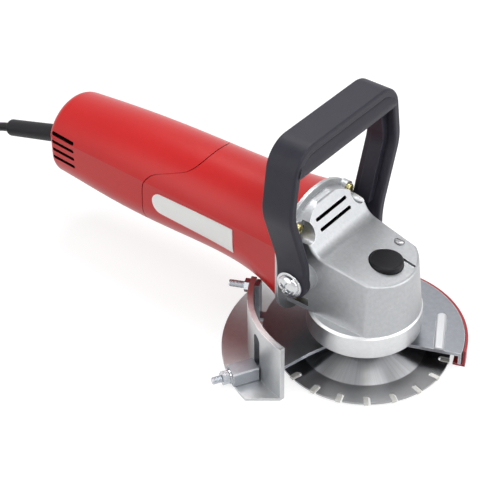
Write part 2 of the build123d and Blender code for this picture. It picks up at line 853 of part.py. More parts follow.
seat_radius = 40.5
stator_front = 98.0
stator_length = 60.0
bridge_front = 199.0
bridge_width = 11.0
bridge_half_height = 20.0
rear_bearing_radius = 11.0
rear_bearing_width = 7.0
half_barrel = 2 * barrel_front[1]
flange_boss_radius = 6.0
flange_boss_length = 14.0
case_screw_bite = 11.0
post_places = ((20.0, -15.0), (-20.0, -15.0))
post_bite = 7.0
with BuildPart() as motor_housing:
    add(outer_barrel.part)
    add(inner_barrel.part, mode=Mode.SUBTRACT)
    for seat in (stator_front + 2, stator_front + stator_length - 10):
        with BuildSketch(station(seat)):
            Circle(barrel_middle[1] + 0.6)
            Circle(seat_radius, mode=Mode.SUBTRACT)
        extrude(amount=8)
    with BuildSketch(station(bridge_front)):
        Rectangle(2 * barrel_middle[1] - barrel_wall, 2 * bridge_half_height)
    extrude(amount=bridge_width)
    with BuildSketch(station(flange_back)):
        with Locations(*flange_places):
            Circle(flange_boss_radius)
    extrude(amount=flange_boss_length)
    add(outer_barrel.part, mode=Mode.INTERSECT)
    with BuildSketch(station(flange_back)):
        with Locations(*flange_places):
            Circle(screw_radius)
    extrude(amount=case_screw_bite + 1, mode=Mode.SUBTRACT)
    with BuildSketch(station(bridge_front + bridge_width)):
        with Locations(*post_places):
            Circle(screw_radius)
    extrude(amount=-post_bite - 1, mode=Mode.SUBTRACT)
    with BuildSketch(profile()):
        add(seam_cut(0))
    extrude(amount=half_barrel, both=True, mode=Mode.INTERSECT)
    with BuildSketch(profile(switch_depth + free_gap - side_width(slider_middle))):
        with Locations((-slider_middle, motor_height + slider_height)):
            Rectangle(switch_length + 2 * free_gap, switch_width + 2 * free_gap)
    extrude(amount=barrel_wall - switch_depth, mode=Mode.SUBTRACT)
    with BuildSketch(station(bridge_front + bridge_width - rear_bearing_width)):
        Circle(rear_bearing_radius)
    extrude(amount=bridge_width, mode=Mode.SUBTRACT)
    with BuildSketch(station(bridge_front - 1)):
        Circle(rear_bearing_radius - 3)
    extrude(amount=bridge_width, mode=Mode.SUBTRACT)
save(motor_housing.part, "motor_housing")

vent_start = barrel_end[0] - 6.0
with BuildPart() as rear_cover:
    add(outer_barrel.part)
    end_edges = rear_cover.faces().sort_by(Axis.X)[0].edges()
    fillet(end_edges, barrel_end_round)
    add(inner_barrel.part, mode=Mode.SUBTRACT)
    with BuildSketch(profile()):
        add(seam_cut(seam_gap))
    extrude(amount=half_barrel, both=True, mode=Mode.SUBTRACT)
    for side in (1, -1):
        with BuildSketch(profile(side * barrel_end[1] / 2)):
            for index in range(vent_count):
                rise = (vent_count / 2 - index) * vent_pitch
                with Locations((-vent_start + vent_length / 2, motor_height + rise)):
                    SlotOverall(vent_length, vent_height)
        extrude(amount=side * barrel_end[1], mode=Mode.SUBTRACT)

# Bearing cover: the round collar under the gear case, with the neck that carries the guard
spindle_bearing_radius = 17.5
spindle_bearing_width = 11.0
spindle_bearing_floor = 38.0
shoulder_radius = 10.0
spindle_inner = 7.5
spindle_head = 6.0
cover_bore = 13.0
neck_floor = cover_floor - neck_length
head_pocket = screw_head_height + free_gap
with BuildPart() as bearing_cover:
    with BuildSketch(level(cover_floor)):
        Circle(cover_radius)
    extrude(amount=case_floor - cover_floor)
    chamfer(bearing_cover.edges().group_by(Axis.Z)[-1], 2.0)
    with BuildSketch(level(neck_floor)):
        Circle(neck_radius)
    extrude(amount=neck_length)
    with BuildSketch(level(neck_floor)):
        Circle(cover_bore)
    extrude(amount=case_floor - neck_floor, mode=Mode.SUBTRACT)
    with BuildSketch(level(spindle_bearing_floor)):
        Circle(spindle_bearing_radius)
    extrude(amount=case_floor - spindle_bearing_floor, mode=Mode.SUBTRACT)
    with BuildSketch(level(cover_floor)):
        with Locations(*cover_places):
            Circle(screw_radius)
    extrude(amount=case_floor - cover_floor, mode=Mode.SUBTRACT)
    with BuildSketch(level(cover_floor)):
        with Locations(*cover_places):
            Circle(screw_head_radius + free_gap)
    extrude(amount=head_pocket, mode=Mode.SUBTRACT)
save(bearing_cover.part, "bearing_cover")


def ball_bearing(plane, outer, bore, width):
    """Closed ball bearing: outer ring, inner ring and a shield let in on both faces."""
    land = (outer - bore) * 0.28
    with BuildPart() as bearing:
        with BuildSketch(plane):
            Circle(outer)
            Circle(bore, mode=Mode.SUBTRACT)
        extrude(amount=width)
        for face in (plane, plane.offset(width - 0.6)):
            with BuildSketch(face):
                Circle(outer - land)
                Circle(bore + land, mode=Mode.SUBTRACT)
            extrude(amount=0.6, mode=Mode.SUBTRACT)
    return bearing.part


save(
    ball_bearing(level(spindle_bearing_floor), spindle_bearing_radius, spindle_inner + running_fit,
                 spindle_bearing_width),
    "spindle_bearing",
)
front_shaft_radius = 6.0
rear_shaft_radius = 4.0
save(
    ball_bearing(station(bearing_front), bearing_radius, front_shaft_radius + running_fit, bearing_width),
    "front_bearing",
)
save(
    ball_bearing(station(bridge_front + bridge_width - rear_bearing_width), rear_bearing_radius,
                 rear_shaft_radius + running_fit, rear_bearing_width),
    "rear_bearing",
)
with BuildPart() as spindle_bush:
    with BuildSketch(level(cavity_top)):
        Circle(bush_radius)
        Circle(spindle_head + running_fit, mode=Mode.SUBTRACT)
    extrude(amount=bush_length)
save(spindle_bush.part, "spindle_bush")

# Spindle: arbor below, shoulder under the bearing, gear seat and a slim head in the bush
nut_floor = seat_floor - nut_height
flange_top = seat_top + inner_flange_height
gear_floor = case_floor + 7.0
gear_hub_top = 87.0
with BuildPart() as spindle:
    with BuildSketch(half_section()):
        with BuildLine():
            Polyline(
                (0, nut_floor + 0.4),
                (arbor_radius, nut_floor + 0.4),
                (arbor_radius, flange_top),
                (shoulder_radius, flange_top),
                (shoulder_radius, spindle_bearing_floor),
                (spindle_inner, spindle_bearing_floor),
                (spindle_inner, gear_hub_top),
                (spindle_head, gear_hub_top),
                (spindle_head, cavity_top + bush_length - 1),
                (0, cavity_top + bush_length - 1),
                close=True,
            )
        make_face()
    revolve(axis=spindle_axis)
save(spindle.part, "spindle")

# Bevel pair: straight teeth that taper to the point where the two axes meet
addendum = 0.75 * gear_module
dedendum = 1.05 * gear_module
gear_cone = atan2(gear_radius, pinion_radius)
pinion_cone = atan2(pinion_radius, gear_radius)
tooth_width = pi * gear_module / 2 * tooth_thinning
apex = (spindle_x, spindle_y, motor_height)


def cone_plane(axis, side, angle, length):
    """Plane across the pitch cone at a distance from the apex; its y leads away from the cone's axis."""
    along = tuple(a * cos(angle) + s * sin(angle) for a, s in zip(axis, side))
    away = tuple(s * cos(angle) - a * sin(angle) for a, s in zip(axis, side))
    across = Vector(*away).cross(Vector(*along))
    origin = tuple(p + length * v for p, v in zip(apex, along))
    return Plane(origin=origin, x_dir=across, z_dir=along)


def bevel_tooth(axis, side, angle):
    """One tooth, lofted between its large and small ends."""
    with BuildPart() as tooth:
        for length in (cone_length, cone_length - gear_face_width):
            share = length / cone_length
            foot = tooth_width * share / 2 * 1.45
            tip = tooth_width * share / 2 * 0.55
            with BuildSketch(cone_plane(axis, side, angle, length)):
                with BuildLine():
                    Polyline(
                        (-foot, -1.25 * dedendum * share),
                        (foot, -1.25 * dedendum * share),
                        (tip, addendum * share),
                        (-tip, addendum * share),
                        close=True,
                    )
                make_face()
        loft(ruled=True)
    return tooth.part


def cone_point(drop, angle, length):
    """Radius and axial distance of a point set back from the pitch cone."""
    share = length / cone_length
    return (
        length * sin(angle) - drop * share * cos(angle),
        length * cos(angle) + drop * share * sin(angle),
    )


small_end = cone_length - gear_face_width
root_margin = 0.5
gear_root_out = cone_point(dedendum, gear_cone, cone_length + root_margin)
gear_root_in = cone_point(dedendum, gear_cone, small_end - root_margin)
web_radius = 13.0
gear_tooth = bevel_tooth((0, 0, -1), (1, 0, 0), gear_cone)
with BuildPart() as bevel_gear:
    with BuildSketch(half_section()):
        with BuildLine():
            Polyline(
                (spindle_inner, gear_floor),
                (web_radius, gear_floor),
                (web_radius, motor_height - gear_root_out[1] - 9),
                (gear_root_out[0] - 2, motor_height - gear_root_out[1] - 6),
                (gear_root_out[0], motor_height - gear_root_out[1]),
                (gear_root_in[0], motor_height - gear_root_in[1]),
                (web_radius, gear_hub_top),
                (spindle_inner, gear_hub_top),
                close=True,
            )
        make_face()
    revolve(axis=spindle_axis)
    for index in range(gear_teeth):
        add(gear_tooth.rotate(spindle_axis, 360 / gear_teeth * index))
    with BuildSketch(level(motor_height - gear_root_out[1] - 10)):
        with PolarLocations(lock_x, 4):
            Circle(lock_pin_radius + free_gap)
    extrude(amount=20, mode=Mode.SUBTRACT)
save(bevel_gear.part, "bevel_gear")

pinion_root_out = cone_point(dedendum, pinion_cone, cone_length + root_margin)
pinion_root_in = cone_point(dedendum, pinion_cone, small_end - root_margin)
pinion_tooth = bevel_tooth((-1, 0, 0), (0, 0, -1), pinion_cone)
pinion_bore = 4.0
with BuildPart() as pinion:
    with BuildSketch(profile()):
        with BuildLine():
            Polyline(
                (-pinion_root_in[1], motor_height + pinion_bore),
                (-pinion_root_in[1], motor_height + pinion_root_in[0]),
                (-pinion_root_out[1], motor_height + pinion_root_out[0]),
                (-bearing_front + 0.2, motor_height + pinion_root_out[0]),
                (-bearing_front + 0.2, motor_height + pinion_bore),
                close=True,
            )
        make_face()
    revolve(axis=motor_axis)
    for index in range(pinion_teeth):
        add(pinion_tooth.rotate(motor_axis, 360 / pinion_teeth * index))
save(pinion.part, "pinion")

# Bail handle: a strap bent into an arch, with a round grip under its top and ribs on its arms
foot_round = (handle_back - handle_front) / 2


def front_view(forward):
    """Upright plane across the tool at a distance in front of the spindle; its x is the far side."""
    return Plane(origin=(spindle_x + forward, spindle_y, 0), x_dir=(0, 1, 0), z_dir=(1, 0, 0))


def arch_corners(inner):
    """Corners of the arch seen from the front, set in from the strap's outer face."""
    near_half = [
        (handle_foot_y - inner, handle_pivot_height - foot_round),
        (handle_foot_y - inner, handle_knee_height),
        (handle_bulge_y - inner, handle_bulge_height),
        (handle_shoulder_y - inner, handle_top - inner),
    ]
    return near_half + [(-across, up) for across, up in reversed(near_half)]


def arch_rounds(inner):
    """Rounds of the arch at its corners, from one foot to the other."""
    near_half = [knee_round, bulge_round - inner, shoulder_round - inner]
    return near_half + near_half[::-1]


def arch_band(inner, depth):
    """Arch-shaped band of a given depth, set in from the strap's outer face."""
    with BuildSketch() as band:
        with BuildLine():
            outer = FilletPolyline(*arch_corners(inner), radius=arch_rounds(inner))
            offset(outer, amount=-depth, side=Side.LEFT)
        make_face()
    return band.sketch


grip_axis = handle_top - strap_thickness + grip_sink - grip_depth / 2
grip_inset = strap_thickness / 2
with BuildPart() as grip_bar:
    with BuildSketch(profile()):
        with Locations((grip_forward - handle_pivot_x, grip_axis)):
            Ellipse(grip_width / 2, grip_depth / 2)
    extrude(amount=handle_bulge_y, both=True)
    with BuildSketch(front_view(-handle_back)):
        with BuildLine():
            rim = FilletPolyline(*arch_corners(grip_inset), radius=arch_rounds(grip_inset))
            Line(rim @ 1, rim @ 0)
        make_face()
    extrude(amount=2 * (foot_round + grip_forward), mode=Mode.INTERSECT)

with BuildPart() as bail_handle:
    with BuildSketch(front_view(-handle_back)):
        add(arch_band(0, strap_thickness))
    extrude(amount=2 * foot_round)
    with BuildSketch(profile()):
        with Locations((-handle_pivot_x, handle_pivot_height)):
            Circle(foot_round)
        with Locations((-handle_pivot_x, handle_pivot_height + handle_top / 2)):
            Rectangle(2 * foot_round, handle_top)
    extrude(amount=2 * handle_bulge_y, both=True, mode=Mode.INTERSECT)
    strap_middle = spindle_x - handle_pivot_x
    strap_edges = bail_handle.edges().filter_by(lambda e: e.length > foot_round)
    rim_edges = strap_edges.filter_by(lambda e: abs(e.center().X - strap_middle) > foot_round - 1)
    fillet(rim_edges, strap_round)
    with BuildSketch(front_view(-handle_pivot_x - rib_width / 2)):
        add(arch_band(strap_thickness - 1, rib_depth + 1))
        with Locations((0, rib_start / 2)):
            Rectangle(3 * handle_bulge_y, rib_start, mode=Mode.SUBTRACT)
    extrude(amount=rib_width)
    add(grip_bar.part)
    with BuildSketch(profile()):
        with Locations((-handle_pivot_x, handle_pivot_height)):
            Circle(handle_bolt_radius + running_fit)
    extrude(amount=2 * handle_bulge_y, both=True, mode=Mode.SUBTRACT)
save(bail_handle.part, "bail_handle")

# Handle bolts: domed heads outside the straps
with BuildPart() as handle_bolts:
    for side in (1, -1):
        with BuildSketch(profile(side * (boss_face - bolt_depth))):
            with Locations((-handle_pivot_x, handle_pivot_height)):
                Circle(handle_bolt_radius)
        extrude(amount=side * (handle_foot_y + 0.2 - boss_face + bolt_depth))
        with BuildSketch(profile(side * (handle_foot_y + 0.2))):
            with Locations((-handle_pivot_x, handle_pivot_height)):
                Circle(bolt_head_radius)
        extrude(amount=side * bolt_flange_height)
        with BuildSketch(profile(side * (handle_foot_y + 0.2))):
            with Locations((-handle_pivot_x, handle_pivot_height)):
                Circle(bolt_dome_radius)
        extrude(amount=side * (bolt_flange_height + bolt_dome_height))
    head_rims = handle_bolts.edges().filter_by(GeomType.CIRCLE).sort_by(Axis.Y)
    fillet([head_rims[0], head_rims[-1]], bolt_dome_height * 0.9)
save(handle_bolts.part, "handle_bolts")

# Cross-head screws: motor flange, bearing cover and rear cover


def screw_heads(plane, places, length, name):
    """Pan head screws at places on a plane, with shanks into it and a cross cut in each head."""
    with BuildPart() as screws:
        with BuildSketch(plane):
            with Locations(*places):
                Circle(screw_head_radius)
        extrude(amount=screw_head_height)
        head_tops = screws.faces().filter_by(lambda face: face.normal_at().dot(plane.z_dir) > 0.9)
        fillet(head_tops.edges(), 1.4)
        with BuildSketch(plane):
            with Locations(*places):
                Circle(screw_radius - running_fit)
        extrude(amount=-length)
        with BuildSketch(plane.offset(screw_head_height)):
            with Locations(*places):
                Rectangle(screw_head_radius * 1.1, 1.0)
                Rectangle(1.0, screw_head_radius * 1.1)
        extrude(amount=-1.6, mode=Mode.SUBTRACT)
    save(screws.part, name)


def facing(plane):
    """The same plane turned to face the other way."""
    return Plane(origin=plane.origin, x_dir=plane.x_dir, z_dir=plane.z_dir * -1)


def mirrored(places):
    """The same places seen from the other face of their plane."""
    return [(across, -up) for across, up in places]


case_screw_length = flange_back - pad_front + case_screw_bite
screw_heads(facing(station(pad_front)), mirrored(flange_places), case_screw_length, "case_screws")
cover_screw_length = case_floor - cover_floor - head_pocket + cover_screw_bite
cover_seat = facing(level(cover_floor + head_pocket))
screw_heads(cover_seat, mirrored(cover_places), cover_screw_length, "cover_screws")
post_screw_length = barrel_end[0] - head_pocket - bridge_front - bridge_width + post_bite
screw_heads(station(barrel_end[0] - head_pocket), post_places, post_screw_length, "rear_cover_screws")
screw_heads(ear_plane(ear_span / 2), [(0, 0)], ear_span, "guard_screw")

# Spindle lock: round button, pin and return spring
with BuildPart() as lock_button:
    with BuildSketch(level(button_floor)):
        with Locations((button_x, 0)):
            Circle(button_radius)
    extrude(amount=button_height)
    fillet(lock_button.edges().group_by(Axis.Z)[-1], button_round)
save(lock_button.part, "lock_button")

pin_floor = gear_hub_top + 1.0
with BuildPart() as lock_pin:
    with BuildSketch(level(pin_floor)):
        with Locations((lock_x, 0)):
            Circle(lock_pin_radius)
    extrude(amount=button_floor - pin_floor)
save(lock_pin.part, "lock_pin")

spring_wire = 0.9
spring_turns = 4
spring_height = button_floor - spring_seat - spring_wire - 0.1
with BuildPart() as lock_spring:
    spring_base = level(spring_seat + spring_wire / 2 + 0.05)
    spring_plane = Plane(origin=spring_base.from_local_coords((lock_x, 0, 0)), z_dir=(0, 0, 1))
    with BuildLine(spring_plane) as coil_line:
        Helix(spring_height / spring_turns, spring_height, spring_radius - spring_wire / 2)
    with BuildSketch(Plane(origin=coil_line.line @ 0, z_dir=coil_line.line % 0)):
        Circle(spring_wire / 2)
    sweep(is_frenet=True)
save(lock_spring.part, "lock_spring")

# Grease plug on top of the nose, by its far edge
plug_head_height = 3.2
with BuildPart() as grease_plug:
    with BuildSketch(level(plug_seat - 5)):
        with Locations((plug_x, plug_y)):
            Circle(plug_radius - running_fit)
    extrude(amount=5)
    with BuildSketch(level(plug_seat)):
        with Locations((plug_x, plug_y)):
            Circle(plug_head_radius)
    extrude(amount=plug_head_height)
    chamfer(grease_plug.edges().group_by(Axis.Z)[-1], 0.8)
    with BuildSketch(level(plug_seat + plug_head_height)):
        with Locations((plug_x, plug_y)):
            Rectangle(2 * plug_head_radius, 1.0)
    extrude(amount=-1.4, mode=Mode.SUBTRACT)
save(grease_plug.part, "grease_plug")

# Motor: stator, field coils, armature, commutator, fan, brushes
armature_radius = 24.0
air_gap = 0.6
yoke_inner = 31.0
coil_overhang = 8.0
shaft_radius = 7.0
shaft_front = small_end * cos(pinion_cone) + 1.0
commutator_front = 174.0
commutator_length = 18.0
commutator_radius = 13.0
fan_front = 60.0
fan_width = 18.0
fan_radius = 40.0
fan_blades = 11
core_slots = 12
with BuildPart() as stator_core:
    with BuildSketch(station(stator_front)):
        Circle(seat_radius)
        Circle(yoke_inner, mode=Mode.SUBTRACT)
        for middle in (90, 270):
            add(ring_sector(yoke_inner + 1, armature_radius + air_gap, middle - 45, middle + 45))
    extrude(amount=stator_length)
save(stator_core.part, "stator_core")

with BuildPart() as field_coils:
    for middle in (90, 270):
        for start in (stator_front - coil_overhang, stator_front + stator_length):
            with BuildSketch(station(start)):
                add(ring_sector(yoke_inner + 6, armature_radius + 2, middle - 64, middle + 64))
            extrude(amount=coil_overhang)
        with BuildSketch(station(stator_front - coil_overhang)):
            for turn in (middle - 56, middle + 56):
                add(ring_sector(yoke_inner, armature_radius + 2, turn - 7, turn + 7))
        extrude(amount=stator_length + 2 * coil_overhang)
save(field_coils.part, "field_coils")

with BuildPart() as armature_shaft:
    with BuildSketch(profile()):
        with BuildLine():
            Polyline(
                (-shaft_front, motor_height),
                (-shaft_front, motor_height + pinion_bore),
                (-bearing_front, motor_height + pinion_bore),
                (-bearing_front, motor_height + front_shaft_radius),
                (-bearing_front - bearing_width, motor_height + front_shaft_radius),
                (-bearing_front - bearing_width, motor_height + shaft_radius),
                (-bridge_front + 1, motor_height + shaft_radius),
                (-bridge_front + 1, motor_height + rear_shaft_radius),
                (-bridge_front - bridge_width - 1, motor_height + rear_shaft_radius),
                (-bridge_front - bridge_width - 1, motor_height),
                close=True,
            )
        make_face()
    revolve(axis=motor_axis)
save(armature_shaft.part, "armature_shaft")

with BuildPart() as armature_core:
    with BuildSketch(station(stator_front)):
        Circle(armature_radius)
        with PolarLocations(armature_radius - 2, core_slots):
            Rectangle(7, 2.4, mode=Mode.SUBTRACT)
        Circle(shaft_radius, mode=Mode.SUBTRACT)
    extrude(amount=stator_length)
save(armature_core.part, "armature_core")

with BuildPart() as armature_windings:
    for start in (stator_front - 10, stator_front + stator_length):
        with BuildSketch(station(start)):
            Circle(armature_radius - 3)
            Circle(shaft_radius, mode=Mode.SUBTRACT)
        extrude(amount=10)
save(armature_windings.part, "armature_windings")

with BuildPart() as commutator:
    with BuildSketch(station(commutator_front)):
        Circle(commutator_radius)
        with PolarLocations(commutator_radius, 2 * core_slots):
            Rectangle(3, 0.6, mode=Mode.SUBTRACT)
        Circle(shaft_radius, mode=Mode.SUBTRACT)
    extrude(amount=commutator_length)
save(commutator.part, "commutator")

with BuildPart() as cooling_fan:
    with BuildSketch(station(fan_front)):
        Circle(fan_radius / 2.6)
    extrude(amount=fan_width)
    with BuildSketch(station(fan_front + fan_width - 2)):
        Circle(fan_radius)
    extrude(amount=2)
    with BuildSketch(station(fan_front + 4)):
        with PolarLocations(fan_radius * 0.66, fan_blades):
            Rectangle(fan_radius * 0.66, 2, rotation=25)
    extrude(amount=fan_width - 4)
    with BuildSketch(station(fan_front)):
        Circle(fan_radius)
    extrude(amount=fan_width, mode=Mode.INTERSECT)
    with BuildSketch(station(fan_front)):
        Circle(shaft_radius)
    extrude(amount=fan_width, mode=Mode.SUBTRACT)
save(cooling_fan.part, "cooling_fan")

baffle_front = fan_front + fan_width + 4
with BuildPart() as fan_baffle:
    add(inner_barrel.part)
    with BuildSketch(station(baffle_front)):
        Circle(2 * fan_radius)
        Circle(armature_radius + 6, mode=Mode.SUBTRACT)
    extrude(amount=3, mode=Mode.INTERSECT)
save(fan_baffle.part, "fan_baffle")

holder_width = 12.0
holder_length = bridge_front - commutator_front - 3
brush_width = 6.5
brush_height = 10.0
brush_x = -commutator_front - commutator_length / 2
with BuildPart() as brush_holders:
    for side in (1, -1):
        with BuildSketch(profile(side * (commutator_radius + 2))):
            with Locations((-bridge_front + holder_length / 2, motor_height)):
                Rectangle(holder_length, holder_width)
            with Locations((brush_x, motor_height)):
                Rectangle(brush_height, brush_width, mode=Mode.SUBTRACT)
        extrude(amount=side * 20)
save(brush_holders.part, "brush_holders")

with BuildPart() as carbon_brushes:
    for side in (1, -1):
        with BuildSketch(profile(side * (commutator_radius + 0.3))):
            with Locations((brush_x, motor_height)):
                Rectangle(brush_height, brush_width - 2 * running_fit)
        extrude(amount=side * 17)
save(carbon_brushes.part, "carbon_brushes")

# Switch on the far side: body inside the rear cover and a slider outside it
slot_front = slider_middle - slider_neck / 2 - slider_travel - free_gap
slot_back = slider_middle + slider_neck / 2 + free_gap
slider_seat = side_width(slider_middle - slider_length / 2 - slider_travel) + 0.5
neck_end = side_width(slot_front) - barrel_wall + free_gap
with BuildPart() as switch_slider:
    with BuildSketch(profile(-slider_seat)):
        with Locations((-slider_middle, motor_height + slider_height)):
            RectangleRounded(slider_length, slider_width, 3)
    extrude(amount=-slider_thickness)
    fillet(switch_slider.faces().sort_by(Axis.Y)[-1].edges(), 1.0)
    with BuildSketch(profile(-slider_seat)):
        with Locations((-slider_middle, motor_height + slider_height)):
            Rectangle(slider_neck, slider_neck / 2)
    extrude(amount=slider_seat - neck_end)
save(switch_slider.part, "switch_slider")

with BuildPart() as switch_body:
    add(inner_barrel.part)
    with BuildSketch(profile(switch_depth - side_width(slider_middle))):
        with Locations((-slider_middle, motor_height + slider_height)):
            Rectangle(switch_length, switch_width)
    extrude(amount=-2 * switch_depth, mode=Mode.INTERSECT)
save(switch_body.part, "switch_body")

# Blank label on the near side of the housing
label_rise = 0.5
label_tail = 10.5
with BuildPart() as label_plate:
    add(barrel(-label_thickness, 0).part)
    with BuildSketch(profile()):
        with BuildLine():
            tail = CenterArc((-label_back + label_tail, motor_height + label_rise), label_tail, 90, 180)
            Polyline(
                tail @ 0,
                (-label_front, motor_height + label_rise + label_height / 2),
                (-label_front, motor_height + label_rise - label_height / 2),
                tail @ 1,
            )
        make_face()
    extrude(amount=2 * barrel_front[1], mode=Mode.INTERSECT)
    add(barrel(-running_fit, 0).part, mode=Mode.SUBTRACT)
save(label_plate.part, "label_plate")

# Strain relief: a rubber sleeve that droops out of the rear cover
droop = radians(relief_droop)
relief_out = (-cos(droop), 0, -sin(droop))
relief_root = (spindle_x - barrel_end[0], spindle_y, relief_height)
relief_inside = 6.5
relief_collar = 3.0
collar_height = relief_height + (barrel_wall + relief_collar / 2) * tan(droop)
relief_root_radius = relief_radius + 0.6
relief_tip_round = 2.0


def relief_plane(distance):
    """Plane across the strain relief at a distance out of the rear cover."""
    origin = tuple(p + distance * v for p, v in zip(relief_root, relief_out))
    return Plane(origin=origin, x_dir=(0, 1, 0), z_dir=relief_out)


with BuildPart() as strain_relief:
    with BuildSketch(relief_plane(-relief_inside)):
        Circle(relief_root_radius)
    with BuildSketch(relief_plane(relief_length)):
        Circle(relief_radius)
    loft(ruled=True)
    fillet(strain_relief.edges().sort_by(Axis.X)[0], relief_tip_round)
    with BuildSketch(station(barrel_end[0] - barrel_wall - relief_collar)):
        with Locations((0, collar_height - motor_height)):
            Circle(relief_radius + 4)
    extrude(amount=relief_collar)
save(strain_relief.part, "strain_relief")

clamp_front = barrel_end[0] - 30.0
clamp_height = motor_height + post_places[0][1] + post_width / 2
with BuildPart() as cord_clamp:
    with BuildSketch(level(clamp_height)):
        with Locations((-clamp_front, 0)):
            Rectangle(12, 2 * post_places[0][0] + post_width)
    extrude(amount=4)
    fillet(cord_clamp.edges().filter_by(Axis.Z), 2)
save(cord_clamp.part, "cord_clamp")

# Rear cover: switch slot, strain relief hole, and two screw posts that reach the bearing bridge
with BuildPart() as finished_cover:
    add(rear_cover.part)
    with BuildSketch(station(bridge_front + bridge_width)):
        with Locations(*post_places):
            Rectangle(post_width, post_width)
    extrude(amount=barrel_end[0] - barrel_wall - bridge_front - bridge_width)
    with BuildSketch(station(bridge_front)):
        with Locations(*post_places):
            Circle(screw_radius)
    extrude(amount=barrel_end[0], mode=Mode.SUBTRACT)
    with BuildSketch(station(barrel_end[0] - head_pocket)):
        with Locations(*post_places):
            Circle(screw_head_radius + free_gap)
    extrude(amount=2 * head_pocket, mode=Mode.SUBTRACT)
    with BuildSketch(profile(barrel_wall + 1 - side_width(slot_back))):
        with Locations((-(slot_front + slot_back) / 2, motor_height + slider_height)):
            Rectangle(slot_back - slot_front, slider_neck / 2 + 2 * free_gap)
    extrude(amount=-2 * slider_seat, mode=Mode.SUBTRACT)
    with BuildSketch(relief_plane(-relief_inside)):
        Circle(relief_root_radius + running_fit)
    extrude(amount=4 * relief_inside, mode=Mode.SUBTRACT)
save(finished_cover.part, "rear_cover")

# Power cord: a run down to the floor, then a put-away coil of two flat spirals, one on the other
coil_x = -560.0
coil_y = -62.0
coil_start = 105.0
coil_turns = 3
coil_outer = 68.4
coil_pitch = 9.6
layer_rise = 9.6
floor_lift = 5.5
lead_in = 30.0
lead_out = 30.0


def coil_state(turns):
    """Radius, its change per turn, height and its change per turn, along the coil."""
    inner = coil_outer - coil_pitch * coil_turns
    if turns <= coil_turns:
        return (coil_outer - coil_pitch * turns, -coil_pitch, floor_lift, 0.0)
    if turns >= coil_turns + 0.5:
        return (inner + coil_pitch * (turns - coil_turns - 0.5), coil_pitch, floor_lift + layer_rise, 0.0)
    part = 2 * (turns - coil_turns)
    radius = inner - coil_pitch * part * (1 - part) / 2
    slope = coil_pitch * (2 * part - 1)
    height = floor_lift + layer_rise * part * part * (3 - 2 * part)
    climb = layer_rise * 12 * part * (1 - part)
    return (radius, slope, height, climb)


def coil_point(turns):
    """Point on the coil's middle line."""
    radius, slope, height, climb = coil_state(turns)
    turn = radians(coil_start) + 2 * pi * turns
    return Vector(
        spindle_x + coil_x + radius * cos(turn), spindle_y + coil_y + radius * sin(turn), height
    )


def coil_heading(turns):
    """Unit direction of the coil's middle line."""
    radius, slope, height, climb = coil_state(turns)
    turn = radians(coil_start) + 2 * pi * turns
    return Vector(
        slope * cos(turn) - 2 * pi * radius * sin(turn),
        slope * sin(turn) + 2 * pi * radius * cos(turn),
        climb,
    ).normalized()


def tangent_pair(start, start_way, end, end_way):
    """Two arcs from one point and direction to another, meeting smoothly between."""
    chord = end - start
    ways = start_way + end_way
    spread = 2 * (1 - start_way.dot(end_way))
    lean = chord.dot(ways)
    reach = (sqrt(lean * lean + spread * chord.dot(chord)) - lean) / spread
    middle = (start + end + (start_way - end_way) * reach) * 0.5
    first = TangentArc(start, middle, tangent=start_way)
    TangentArc(middle, end, tangent=first % 1)


relief_tip = relief_plane(relief_length).origin
coil_enter = coil_point(0)
enter_way = coil_heading(0)
run_points = [
    relief_tip,
    relief_plane(relief_length + 25).origin,
    Vector(spindle_x - 489, spindle_y + 7, 29),
    Vector(spindle_x - 519, spindle_y + 13.5, 11),
    coil_enter - enter_way * lead_in,
    coil_enter,
]
run_radii = []
for index in range(1, len(run_points) - 1):
    before = run_points[index] - run_points[index - 1]
    after = run_points[index + 1] - run_points[index]
    turn = radians(before.get_angle(after))
    run_radii.append(0.45 * min(before.length, after.length) / tan(turn / 2))
with BuildPart() as cord_run:
    with BuildLine():
        route = FilletPolyline(*run_points, radius=run_radii)
    with BuildSketch(Plane(origin=route @ 0, z_dir=route % 0)):
        Circle(cord_radius)
    sweep()
save(cord_run.part, "cord_run")

coil_total = 2 * coil_turns + 0.5
coil_exit = coil_point(coil_total)
exit_way = coil_heading(coil_total)
step_count = round(coil_total * 4)
with BuildPart() as cord_coil:
    with BuildLine() as coil_line:
        for index in range(step_count):
            begin = coil_total * index / step_count
            finish = coil_total * (index + 1) / step_count
            tangent_pair(coil_point(begin), coil_heading(begin), coil_point(finish), coil_heading(finish))
        Line(coil_exit, coil_exit + exit_way * lead_out)
    with BuildSketch(Plane(origin=coil_enter, z_dir=enter_way)):
        Circle(cord_radius)
    sweep(path=coil_line.wires()[0])
save(cord_coil.part, "cord_coil")

